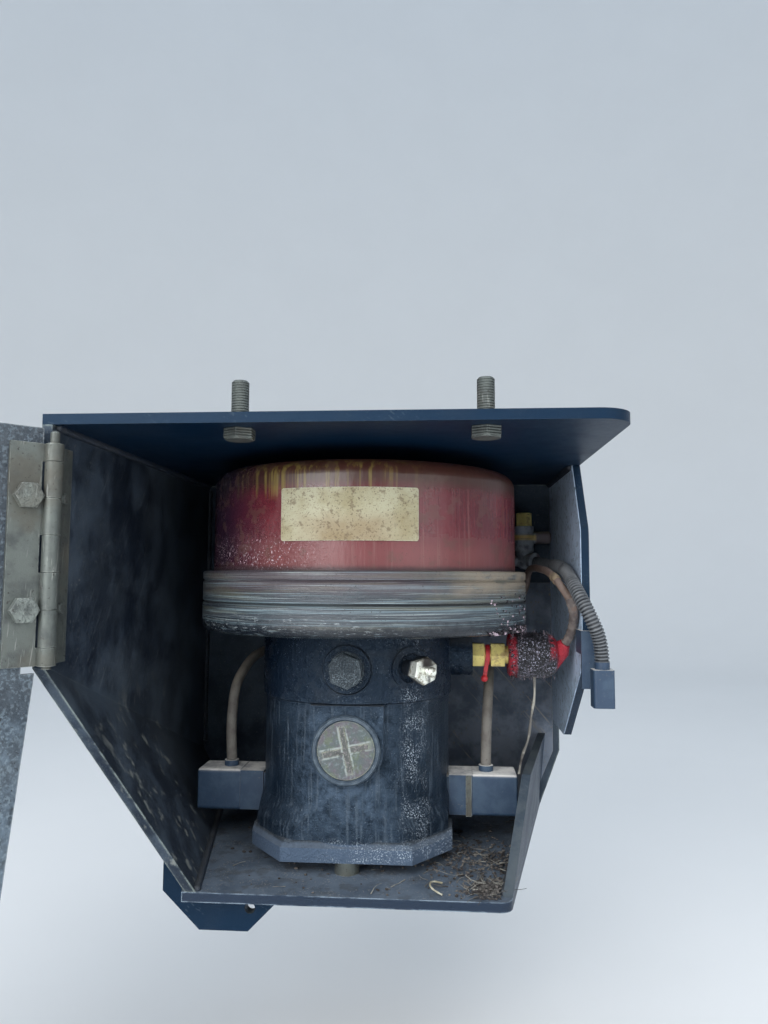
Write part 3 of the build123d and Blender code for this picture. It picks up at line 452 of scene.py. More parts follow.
class LitterLook(bpy.types.PropertyGroup):
    needle_count: count_of("Needles", "Dry needles on the shelf", 150)
    crumb_count: count_of("Crumbs", "Crumbs of bark and soil on the shelf", 900)
    seed: IntProperty(name="Seed", description="Number that fixes the litter's places", default=7)


class StudioLook(bpy.types.PropertyGroup):
    floor_drop: FloatProperty(
        name="Floor drop", description="Floor below the lowest point", default=0.12, unit="LENGTH"
    )
    backdrop: colour_of("Backdrop", "floor and backdrop", (0.84, 0.835, 0.82))
    lens: FloatProperty(name="Lens", description="Focal length for a 36 mm long side", default=27.04)
    key_power: FloatProperty(name="Key light", description="Power of the key light", default=24.0)


# Finishes


def bracket_finishes(look):
    """Paint of the plates, the walls, the shelf and the door, with painted light on the right wall's inner
    face and on the door's lower part.
    """
    paint = tuple(look.paint)
    grain, dents = pits(1500, 0.06), pits(40, 0.25)
    dusted = ([dusting(look.dust_amount)], tuple(look.dust), 0.9)
    inside = zone((90, 50, -100), (53, 300, 300), 0.005)
    left_foot = zone((-128, -20, -240), (50, 70, 60), 0.4)
    painted_sky_light_door_foot = zone((-300, -300, -270), (400, 400, 110), 0.3, 1.2)
    gloss = {"Specular_IOR_Level": 0.2, "Specular_Tint": SKY_SHEEN}
    finish("bracket_paint", paint, 0.38, [
        ([blotches(22, 0.45, 0.7), 0.5], (0.013, 0.024, 0.042), 0.55),
        ([scratches(900, (0.5, 0.9, 0)), 0.4], (0.06, 0.085, 0.11), 0.5),
        ([edges(1.2), 0.75], (0.01, 0.018, 0.03), 0.5),
        dusted,
    ], [grain, dents], **gloss)
    finish("worn_wall_paint", (0.014, 0.02, 0.032), 0.4, [
        ([blotches(26, 0.4, 0.66), 0.7], (0.07, 0.093, 0.125), 0.6),
        ([blotches(9, 0.4, 0.62), 0.35], (0.09, 0.11, 0.13), 0.7),
        ([blotches(75, 0.56, 0.64, (1.6, 1, 0.6)), left_foot], (0.19, 0.2, 0.19), 0.7),
        ([scratches(900, (0.6, 0, 0)), 0.5], (0.1, 0.12, 0.14), 0.6),
        ([speckles(700, 0.13)], (0.12, 0.13, 0.13), 0.7),
        ([edges(2.4, 90)], (0.26, 0.3, 0.28), 0.55),
        dusted,
    ], [grain, dents], **gloss)
    finish("right_wall_paint_and_painted_light", paint, 0.42, [
        ([blotches(22, 0.45, 0.7), 0.5], (0.02, 0.034, 0.055), 0.55),
        # The inner face takes the wall's worn blue-grey paint made far paler: painted sky light on a face
        # that stands in shade.
        ([inside], tuple(look.wall), 0.45),
        ([inside, blotches(35, 0.42, 0.64), 0.8], (0.42, 0.54, 0.68), 0.5),
        ([inside, blotches(160, 0.52, 0.64), 0.7], (0.22, 0.28, 0.36), 0.5),
        ([inside, scratches(800, (0.35, 0, 0))], (0.4, 0.47, 0.54), 0.5),
        ([scratches(1100, (1.1, 0, 0)), 0.5], (0.09, 0.11, 0.13), 0.5),
        ([speckles(500, 0.14)], (0.02, 0.024, 0.03), 0.6),
        ([edges(1.2), 0.6], (0.06, 0.085, 0.11), 0.5),
    ], [grain, dents], **gloss)
    finish("dusty_plate_paint", (0.18, 0.21, 0.26), 0.8, [
        ([blotches(45, 0.4, 0.62)], (0.085, 0.11, 0.15), 0.75),
        ([scratches(600, (0, 0.7, 0))], (0.22, 0.22, 0.22), 0.8),
        ([speckles(420, 0.13)], (0.2, 0.17, 0.13), 0.9),
        ([edges(1.2)], (0.26, 0.26, 0.26), 0.7),
    ], [grain])
    finish("shelf_paint", paint, 0.42, [
        ([dusting(0.95, 38)], (0.12, 0.155, 0.2), 0.92),
        ([dusting(1), blotches(95, 0.5, 0.6), 0.6], (0.06, 0.065, 0.07), 0.9),
        ([dusting(1), speckles(800, 0.16)], (0.28, 0.28, 0.27), 0.95),
        ([edges(1.5, 60)], (0.3, 0.38, 0.46), 0.45),
    ], [([speckles(800, 0.16)], 0.25 * MM), grain], Specular_IOR_Level=0.4)
    finish("door_paint", (0.026, 0.04, 0.056), 0.5, [
        ([blotches(30, 0.42, 0.64)], (0.06, 0.078, 0.095), 0.62),
        # The door's lower part is lighter and bluer: painted sky light, broken up by the door's real dirt
        # texture.
        ([painted_sky_light_door_foot, blotches(130, 0.36, 0.62), 0.9], (0.11, 0.15, 0.19), 0.7),
        ([blotches(480, 0.5, 0.62), 0.7], (0.17, 0.22, 0.26), 0.7),
        ([blotches(14, 0.48, 0.6), 0.5], (0.03, 0.038, 0.048), 0.6),
        ([speckles(380, 0.14)], (0.02, 0.024, 0.03), 0.6),
        ([edges(1.4)], (0.3, 0.34, 0.36), 0.5),
    ], [pits(420, 0.25, 0.35, 0.65), dents])


def metal_finishes(look):
    """Dirty zinc, threaded zinc, brass and the weld's steel."""
    zinc_layers = [
        ([blotches(60, 0.42, 0.66), 0.8], (0.055, 0.062, 0.062), 0.6, 0.3),
        ([blotches(24, 0.48, 0.66), 0.6], (0.085, 0.075, 0.055), 0.7, 0.1),
        ([scratches(900, (0.1, 0, 0)), 0.6], (0.28, 0.29, 0.27), 0.4, 0.6),
        ([speckles(420, 0.13)], (0.04, 0.04, 0.035), 0.8, 0.1),
        ([edges(0.7), 0.8], (0.42, 0.45, 0.42), 0.35, 0.7),
    ]
    grey, crust = (0.12, 0.135, 0.125), pits(520, 0.35, 0.4, 0.62)
    upright = ([("groove", {"Pitch": 1.5 * MM})], -0.5 * MM)
    level = ([("groove", {"Pitch": 1.0 * MM, "Along": (1.0, 0.0, 0.0)})], -0.35 * MM)
    for name, ground, *relief in (
        ("dirty_zinc", grey),
        ("crusted_zinc", (0.24, 0.27, 0.25), crust),
        ("zinc_threaded_upright", grey, upright),
        ("zinc_threaded_level", grey, level),
    ):
        finish(name, ground, 0.42, zinc_layers, [pits(1300, 0.05), *relief], metallic=0.55)
    finish("dull_brass", tuple(look.brass), 0.34, [
        ([blotches(160, 0.48, 0.66)], (0.55, 0.42, 0.18), 0.5, 0.3),
        ([speckles(900, 0.1)], (0.05, 0.035, 0.02), 0.7, 0.0),
        ([edges(0.6), 0.7], (0.85, 0.72, 0.4), 0.3, 0.9),
    ], [pits(1500, 0.04)], metallic=0.35)
    finish("painted_weld", (0.012, 0.02, 0.034), 0.42, [
        ([blotches(200, 0.45, 0.6)], (0.03, 0.036, 0.046), 0.6),
        ([dusting(0.7)], (0.06, 0.065, 0.07), 0.9),
    ], [pits(900, 0.1)])


def window_finish():
    """Cloudy yellow-green window whose moulded cross has dark arms with bright edges."""
    layers = [
        ([blotches(90, 0.42, 0.62)], (0.08, 0.07, 0.085), 0.3),
        ([blotches(130, 0.5, 0.64), 0.8], (0.075, 0.1, 0.06), 0.3),
        ([blotches(500, 0.55, 0.62), 0.5], (0.17, 0.21, 0.23), 0.25),
    ]
    arms = (((16.3, 20, 3.1), (15.4, 20, 1.9)), ((3.1, 20, 16.3), (1.9, 20, 15.4)))
    for arm in arms:
        rim, core = (zone((-17, -32, -202), half, 0.12, 0.5, (0, math.radians(12), 0)) for half in arm)
        layers += [
            ([rim, blotches(330, 0.36, 0.52), 0.75], (0.34, 0.38, 0.36), 0.25),
            ([core, 0.85], (0.02, 0.021, 0.018), 0.3),
            ([core, blotches(800, 0.52, 0.6), 0.8], (0.2, 0.18, 0.18), 0.3),
        ]
    layers.append(([edges(1, 260)], (0.36, 0.38, 0.28), 0.25))
    green = (0.06, 0.082, 0.082)
    finish("cloudy_window", green, 0.2, layers, [pits(500, 0.1)], Coat_Weight=0.5, Coat_Roughness=0.12)


def pump_finishes(look):
    """Casting, plug, sight window, ring, cup, grease and label, with painted shade, highlights, reflection
    and glints on the casting, ring and cup.
    """
    glint = (0.56, 0.64, 0.72)
    fine = speckles(1000, 0.205)
    glint_stripe = zone((27, -12, -215), (6, 30, 60), 0.9, 2.6)
    foot = zone((20, -20, -268), (36, 30, 6), 0.6, 1.4)
    painted_front_highlight = zone((-20, -30, -215), (26, 50, 34), 0.9, 1.2)
    rim = zone((-17, 30, -271), (200, 200, 8.5), 0.08, 0.1)
    painted_shade_head = zone((-17, 40, -148), (200, 200, 26), 0.3, 0.5)
    finish("greasy_casting_and_painted_light", tuple(look.cast), 0.28, [
        ([blotches(45, 0.42, 0.66), 0.8], (0.014, 0.025, 0.042), 0.42),
        # A soft lighter band down the casting's front: painted highlight.
        ([painted_front_highlight, blotches(120, 0.34, 0.62), 0.8], (0.075, 0.11, 0.16), 0.5),
        ([blotches(420, 0.52, 0.64, (1, 1, 0.06)), 0.5], (0.085, 0.11, 0.14), 0.4),
        # The casting's head under the ring is made near black: painted shade.
        ([painted_shade_head, 0.92], (0.002, 0.007, 0.018), 0.26),
        ([painted_shade_head, blotches(60, 0.52, 0.66), 0.4], (0.03, 0.034, 0.04), 0.5),
        # Faint light specks: painted glints.
        ([speckles(1100, 0.11)], (0.2, 0.24, 0.28), 0.3),
        ([rim], (0.07, 0.1, 0.15), 0.5),
        # A stripe of bright specks and more at the foot: painted glints.
        ([glint_stripe, fine], glint, 0.3),
        ([foot, fine], glint, 0.3),
        ([edges(0.9), 0.4], (0.09, 0.11, 0.14), 0.45),
        ([dusting(0.75, 70)], (0.1, 0.11, 0.12), 0.9),
    ], [
        pits(750, 0.3), pits(260, 0.3, 0.4, 0.7), ([glint_stripe, fine], 0.2 * MM),
    ], Specular_IOR_Level=0.4, Specular_Tint=SKY_SHEEN)
    finish("greasy_plug", (0.016, 0.026, 0.036), 0.36, [
        ([blotches(1000, 0.52, 0.6)], (0.07, 0.095, 0.115), 0.36),
        ([speckles(1200, 0.2)], (0.22, 0.27, 0.3), 0.3),
        ([edges(0.8, 300)], (0.2, 0.25, 0.28), 0.35),
    ], [pits(1100, 0.4, 0.35, 0.65)])
    finish("bright_nipple", (0.86, 0.88, 0.8), 0.32, [
        ([blotches(330, 0.5, 0.6), 0.8], (0.2, 0.17, 0.11), 0.5, 0.2),
        ([zone((26.5, -20.5, -150.5), (10.5, 10.5, 13), 0.1, 0.5)], (0.012, 0.016, 0.022), 0.4, 0.0),
        ([zone((37.5, -34.5, -144.5), (5, 6, 3.5), 0.3, 0.5)], (0.02, 0.015, 0.012), 0.5, 0.0),
        ([speckles(900, 0.12)], (0.05, 0.05, 0.05), 0.5, 0.0),
    ], [pits(700, 0.12, 0.35, 0.65)], metallic=0.55)
    finish("sight_ring_metal", (0.035, 0.055, 0.08), 0.42, [
        ([blotches(220, 0.42, 0.64)], (0.07, 0.1, 0.13), 0.5, 0.1),
        ([edges(0.8)], (0.3, 0.34, 0.36), 0.4, 0.2),
    ], [pits(1200, 0.06)], metallic=0.2)
    window_finish()
    underside = zone((0, 0, -124.5), (500, 500, 4.5), 0.7, 1.8)
    painted_highlight_left_end = zone((-60, 0, -119), (70, 200, 5), 0.6, 1.4)
    right_end = zone((90, 0, -91), (34, 90, 9), 0.6, 0.9)
    finish("streaked_ring_and_painted_highlights", tuple(look.ring), 0.34, [
        ([blotches(24, 0.36, 0.6, (0.3, 0.3, 34)), 0.9], (0.026, 0.034, 0.042), 0.26),
        # Greenish-cyan and pale streaks: painted highlight lines laid along the ring's own streaking.
        ([blotches(30, 0.53, 0.61, (0.25, 0.25, 40)), 0.8], (0.17, 0.24, 0.27), 0.36),
        ([blotches(60, 0.57, 0.64, (0.2, 0.2, 30)), 0.8], (0.34, 0.4, 0.4), 0.36),
        ([blotches(17, 0.5, 0.62, (0.5, 0.5, 12)), 0.5], (0.11, 0.11, 0.075), 0.4),
        ([zone((-30, -50, -92), (80, 50, 7), 0.6, 1.2), 0.5], (0.09, 0.055, 0.06), 0.35),
        ([underside, blotches(200, 0.28, 0.46, (0.4, 0.4, 3))], (0.01, 0.014, 0.02), 0.16),
        # White streaky specks at the lower left: painted wet highlights.
        ([painted_highlight_left_end, blotches(800, 0.6, 0.66, (0.25, 0.25, 2.6)), 0.8], (0.5, 0.56, 0.58), 0.2),
        ([right_end, blotches(90, 0.3, 0.5, (0.5, 0.5, 2)), 0.85], (0.24, 0.2, 0.15), 0.7),
        ([speckles(800, 0.14)], (0.04, 0.042, 0.045), 0.5),
        ([zone((0, 0, -107), (500, 500, 0.9), 0.5), 0.8], (0.02, 0.022, 0.026), 0.4),
    ], [pits(30, 0.15, stretch=(0.4, 0.4, 24)), pits(420, 0.1, 0.35, 0.65)])
    right_side = zone((70, 0, -55), (70, 200, 50), 0.5, 0.5)
    left_shoulder = zone((-45, 0, -28), (60, 200, 10), 0.5, 0.5)
    painted_wet_highlights, damp = zone((-82, 0, -77), (34, 200, 10), 0.7, 1.6), zone((-80, 0, -72), (45, 200, 18), 0.5)
    finish("stained_cup_and_painted_wet_light", (0.155, 0.022, 0.03), 0.26, [
        ([blotches(34, 0.38, 0.66, (1, 1, 0.5)), 0.7], (0.085, 0.011, 0.02), 0.22),
        ([zone((20, 0, -80), (120, 200, 12), 0.8, 0.9), 0.7], (0.2, 0.06, 0.058), 0.4),
        ([right_side, blotches(420, 0.52, 0.64, (1, 1, 0.02)), 0.5], (0.22, 0.11, 0.095), 0.5),
        ([zone((0, 0, -22.5), (300, 300, 10.5), 0.5, 0.5), 0.8], (0.045, 0.024, 0.014), 0.32),
        ([left_shoulder, blotches(300, 0.48, 0.62, (1, 1, 0.03)), 0.7], (0.26, 0.2, 0.05), 0.4),
        # Dark blue at the cup's left side: painted reflection.
        ([zone((-120, 0, -50), (40, 200, 60), 0.6, 0.5), 0.8], (0.008, 0.01, 0.028), 0.2),
        # White specks at the lower left: painted wet highlights.
        ([painted_wet_highlights, blotches(800, 0.59, 0.63)], (0.7, 0.6, 0.66), 0.15),
        ([blotches(90, 0.52, 0.62), 0.4], (0.1, 0.06, 0.045), 0.5),
        ([speckles(700, 0.12), 0.7], (0.04, 0.025, 0.024), 0.5),
        ([zone((0, 0, -87), (500, 500, 3.2), 0.6, 1.2), 0.8], (0.03, 0.018, 0.022), 0.5),
    ], [
        pits(260, 0.08, 0.35, 0.65, (1, 1, 0.2)),
        ([damp, blotches(420, 0.4, 0.65)], 0.3 * MM),
    ], Alpha=0.9, Coat_Weight=0.1, Coat_Roughness=0.1)
    finish("red_grease", tuple(look.grease), 0.3, [
        ([blotches(40, 0.4, 0.65)], (0.12, 0.01, 0.02), 0.35),
    ], [pits(90, 1.2)])
    finish("stained_label", (0.4, 0.38, 0.26), 0.55, [
        ([blotches(40, 0.4, 0.7), 0.8], (0.26, 0.22, 0.11), 0.6),
        ([zone((-10, 0, -62), (28, 200, 9), 0.7, 1.2), 0.6], (0.2, 0.12, 0.05), 0.6),
        ([blotches(260, 0.54, 0.66), 0.7], (0.13, 0.09, 0.05), 0.6),
        ([blotches(900, 0.57, 0.63), 0.8], (0.1, 0.065, 0.035), 0.6),
        ([edges(0.8, 300)], (0.55, 0.54, 0.44), 0.6),
    ], [pits(520, 0.08, 0.5, 0.65)])


def soft_finishes():
    """Plugs, rubbers, leads and litter, with painted glints on the boot and the grease bristles and a painted
    highlight on the conduit's ribs.
    """
    fine = pits(1400, 0.05)
    finish("dusty_black_plastic", (0.02, 0.044, 0.085), 0.5, [
        ([blotches(90, 0.42, 0.64), 0.6], (0.045, 0.08, 0.125), 0.6),
        ([speckles(700, 0.11)], (0.11, 0.115, 0.12), 0.7),
        ([edges(0.8), 0.5], (0.12, 0.14, 0.16), 0.5),
        ([dusting(1, 90)], (0.78, 0.76, 0.72), 0.95),
    ], [fine])
    finish("dusty_fitting", (0.4, 0.43, 0.47), 0.45, [
        ([blotches(130, 0.45, 0.62), 0.7], (0.06, 0.07, 0.085), 0.6),
        ([zone((120, 100, -55), (30, 60, 2.2), 0.4, 0.5)], (0.75, 0.55, 0.2), 0.4),
        ([zone((136, 150, -55), (8, 20, 20), 0.15)], (0.2, 0.17, 0.18), 0.6),
        ([edges(0.8)], (0.22, 0.21, 0.19), 0.6),
        ([dusting(0.9, 120)], (0.24, 0.21, 0.15), 0.95),
    ], [fine])
    finish("ribbed_conduit", (0.012, 0.015, 0.02), 0.4, [
        ([blotches(120, 0.42, 0.62), 0.6], (0.03, 0.034, 0.04), 0.5),
        # Pale rib crests: painted highlight.
        ([("crest", {}), blotches(60, 0.3, 0.55), 0.8], (0.16, 0.172, 0.185), 0.5),
    ], [fine])
    finish("dusty_lead", (0.16, 0.15, 0.135), 0.72, [
        ([blotches(80, 0.42, 0.62), 0.7], (0.095, 0.085, 0.075), 0.8),
        ([speckles(500, 0.13)], (0.07, 0.055, 0.045), 0.8),
        ([dusting(0.7)], (0.3, 0.27, 0.22), 0.95),
    ], [pits(600, 0.12)])
    finish("brown_lead", (0.15, 0.105, 0.085), 0.6, [
        ([blotches(90, 0.42, 0.6)], (0.22, 0.165, 0.14), 0.7),
        ([speckles(600, 0.12)], (0.05, 0.035, 0.03), 0.7),
    ], [pits(500, 0.12)])
    finish("grimy_tape", (0.11, 0.09, 0.085), 0.65, [
        ([blotches(200, 0.42, 0.6)], (0.19, 0.16, 0.145), 0.75),
        ([edges(0.4)], (0.26, 0.23, 0.2), 0.7),
    ], [pits(500, 0.2)])
    finish("tan_tape", (0.3, 0.24, 0.16), 0.7, [
        ([blotches(300, 0.42, 0.6)], (0.16, 0.12, 0.08), 0.75),
    ], [pits(500, 0.2)])
    left_rim = zone((94.5, 40, -146.5), (4.5, 50, 50), 0.3, 0.7)
    right_rim = zone((127.5, 30, -134), (4.5, 50, 12), 0.4, 0.9)
    finish("greasy_boot_and_painted_glints", (0.006, 0.006, 0.009), 0.32, [
        ([blotches(420, 0.52, 0.6), 0.7], (0.07, 0.065, 0.085), 0.4),
        # Bluish white specks: painted glints.
        ([speckles(800, 0.18)], (0.5, 0.5, 0.62), 0.25),
        ([left_rim, blotches(260, 0.4, 0.52)], (0.4, 0.015, 0.035), 0.45),
        ([right_rim, blotches(300, 0.4, 0.54)], (0.42, 0.02, 0.04), 0.45),
        ([zone((134.5, 30, -138), (6, 50, 20), 0.3, 0.3)], (0.5, 0.03, 0.05), 0.4),
    ], [pits(520, 0.5, 0.35, 0.65)])
    finish("red_rubber", (0.48, 0.022, 0.03), 0.42, [
        ([blotches(200, 0.5, 0.66)], (0.2, 0.012, 0.018), 0.5),
        ([speckles(900, 0.1)], (0.04, 0.015, 0.018), 0.5),
    ], [pits(900, 0.08)])
    finish("grease_bristles_and_painted_glints", (0.012, 0.008, 0.012), 0.26, [
        # Pale blotches on the bristles and the ring's fringe: painted glints.
        ([blotches(160, 0.51, 0.58)], (0.5, 0.4, 0.46), 0.25),
    ], [pits(900, 0.1)])
    finish("grease_granules", (0.02, 0.028, 0.034), 0.3, [
        ([blotches(300, 0.45, 0.6)], (0.1, 0.125, 0.14), 0.3),
    ], [pits(900, 0.1)])
    finish("dry_needles", (0.12, 0.115, 0.105), 0.8, [
        ([blotches(70, 0.42, 0.58)], (0.32, 0.31, 0.27), 0.85),
        ([blotches(45, 0.5, 0.62)], (0.035, 0.03, 0.028), 0.8),
    ], [pits(900, 0.08)])
    finish("pale_straw", (0.5, 0.48, 0.38), 0.6, [
        ([blotches(150, 0.45, 0.6)], (0.3, 0.27, 0.18), 0.7),
    ], [pits(900, 0.08)])
    finish("bark_crumbs", (0.05, 0.045, 0.045), 0.9, [
        ([blotches(150, 0.45, 0.58)], (0.17, 0.155, 0.14), 0.95),
        ([blotches(110, 0.52, 0.62)], (0.035, 0.03, 0.028), 0.8),
    ], [pits(700, 0.2)])


# Operators


dressing = (
    ("bracket_paint", "top_plate", "side_gusset", "lug"),
    ("worn_wall_paint", "left_wall", "back_plate"),
    ("right_wall_paint_and_painted_light", "right_wall"),
    ("dusty_plate_paint", "backing_plate"),
    ("shelf_paint", "shelf"),
    ("door_paint", "door_panel"),
    ("dirty_zinc", "hinge_wall_leaf", "hinge_door_leaf", "hinge_pin", "connector_clip", "lead_clips"),
    ("dirty_zinc", "pump_feet"),
    ("bright_nipple", "filler_nipple"),
    ("crusted_zinc", "hinge_door_bolts"),
    ("zinc_threaded_upright", "mount_bolts"),
    ("zinc_threaded_level", "hinge_wall_bolts"),
    ("dull_brass", "switch_fittings", "cable_fitting_nut"),
    ("greasy_casting_and_painted_light", "pump_body"),
    ("greasy_plug", "hex_plug"),
    ("sight_ring_metal", "sight_ring"),
    ("cloudy_window", "sight_glass"),
    ("streaked_ring_and_painted_highlights", "retaining_ring"),
    ("stained_cup_and_painted_wet_light", "reservoir"),
    ("red_grease", "grease"),
    ("stained_label", "reservoir_label"),
    ("dusty_black_plastic", "connector_left", "connector_right", "conduit_plug"),
    ("dusty_fitting", "cable_fitting"),
    ("dusty_lead", "valve_lead"),
    ("brown_lead", "switch_lead"),
    ("greasy_boot_and_painted_glints", "switch_boot"),
    ("red_rubber", "boot_strap"),
)


class PUMP_OT_finishes(bpy.types.Operator):
    """Makes every finish and gives the CAD nodes theirs"""

    bl_idname = "pump.finishes"
    bl_label = "Finishes"

    def execute(self, context):
        make_effects()
        bracket_finishes(context.scene.bracket_look)
        metal_finishes(context.scene.pump_look)
        pump_finishes(context.scene.pump_look)
        soft_finishes()
        for finish_name, *names in dressing:
            for piece in (nodes[name] for name in names):
                if not piece.material_slots:
                    piece.data.materials.append(finishes[finish_name])
                for place in piece.material_slots:
                    place.material = finishes[finish_name]
        return {"FINISHED"}


class PUMP_OT_welds(bpy.types.Operator):
    """Lays the weld beads in the bracket's corners"""

    bl_idname = "pump.welds"
    bl_label = "Weld beads"

    corners = (
        ("weld_left_foot", (-105.6, -57, -281.6), (-147.5, 155, -281.6)),
        ("weld_right_foot", (82.6, -48, -281.6), (121.5, 152, -281.6)),
        ("weld_top_left", (-170, -124, -6.8), (-170, 160, -6.8)),
        ("weld_top_right", (142, 46, -6.8), (142, 160, -6.8)),
        ("weld_rear_left", (-170, 163.5, -12), (-170, 163.5, -240)),
        ("weld_lug", (-112, -45.4, -288.4), (-60, -45.4, -288.4)),
    )

    def execute(self, context):
        for name, start, end in self.corners:
            self.bead(name, Vector(start) * MM, Vector(end) * MM, context.scene.bracket_look.bead)
        return {"FINISHED"}

    def bead(self, name, start, end, radius):
        """A row of flat overlapping ripples along a corner."""
        run = end - start
        count = max(2, round(run.length / (0.75 * radius)))
        start_clean()
        bpy.ops.mesh.primitive_uv_sphere_add(segments=10, ring_count=7, radius=radius)
        piece = bpy.context.object
        edit()
        bpy.ops.transform.resize(value=(1.0, 1.0, 0.7))
        bpy.ops.transform.vertex_random(offset=0.08 * radius, seed=5)
        leave_edit()
        bpy.ops.object.shade_smooth()
        piece.data.transform(lying(start, run))
        row = piece.modifiers.new("Ripples", "ARRAY")
        row.use_relative_offset = False
        row.use_constant_offset = True
        row.constant_offset_displace = run / count
        row.count = count
        bpy.ops.object.modifier_apply(modifier=row.name)
        settle(piece, name, "painted_weld")


class PUMP_OT_grease(bpy.types.Operator):
    """Puts granular grease on the plug and greasy bristles on the switch's boot and the ring"""

    bl_idname = "pump.grease"
    bl_label = "Grease"

    def execute(self, context):
        look = context.scene.pump_look
        chance = random.Random(11)
        self.granules(chance, look.granule_count)
        self.bristles(chance, look.bristle_count)
        self.fringe(chance, look.fringe_count)
        return {"FINISHED"}

    def granules(self, chance, count):
        """Grains of grease over the plug's face, its flats and its seat."""
        low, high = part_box("hex_plug")
        centre = middle("hex_plug")
        face_radius, seat_radius = 10.6 * MM, 12.6 * MM
        places = []
        for _ in range(count):
            angle = chance.uniform(0, math.tau)
            out = seat_radius * math.sqrt(chance.random())
            face = low[1] if out < face_radius else high[1] - chance.uniform(0.2, 7.0) * MM
            if out >= face_radius:
                out = chance.uniform(11.4, 13.0) * MM
            place = Vector((centre.x + out * math.cos(angle), face, centre.z + out * math.sin(angle)))
            size = chance.uniform(0.16, 0.4) * MM
            places.append(lying(place, (0, -1, 0), (size, size, 0.7 * size), angle))
        settle(copies_of(speck(), places), "plug_grease", "grease_granules")

    def bristles(self, chance, count):
        """Short stiff tufts of greasy dirt on the boot."""
        start = Vector((95.5, 40.0, -146.5)) * MM
        reach, radius = 31.0 * MM, 15.4 * MM
        places = []
        for _ in range(count):
            along = Vector((reach * chance.random() ** 1.8, 0.0, 0.0))
            angle = chance.uniform(0, math.tau)
            out = Vector((0.0, math.cos(angle), math.sin(angle)))
            lean = Vector((chance.uniform(-0.7, 0.7), chance.uniform(-0.5, 0.5), chance.uniform(-0.5, 0.5)))
            length = chance.uniform(1.8, 4.2) * MM
            size = (2.2 * length, 2.2 * length, length)
            places.append(lying(start + along + out * radius, out + lean, size, angle))
        settle(copies_of(straw(), places), "boot_bristles", "grease_bristles_and_painted_glints")

    def fringe(self, chance, count):
        """Greasy dirt on the ring's right end, down to the boot."""
        centre = middle("retaining_ring")
        low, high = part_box("retaining_ring")
        radius = (high[0] - low[0]) / 2
        places = []
        for _ in range(count):
            angle = math.radians(chance.uniform(-42, -8))
            out = Vector((math.cos(angle), math.sin(angle), 0.0))
            rise = (1.0 + 26.0 * chance.random() ** 2) * MM
            sunk = chance.uniform(0.4, 1.4) * MM
            place = Vector((centre.x, centre.y, low[2] + rise)) + out * (radius - sunk)
            size = chance.uniform(0.5, 1.3) * MM
            places.append(lying(place, out + Vector((0, 0, -0.6)), (size, size, 1.6 * size), angle))
        settle(copies_of(speck(), places), "ring_fringe", "grease_bristles_and_painted_glints")


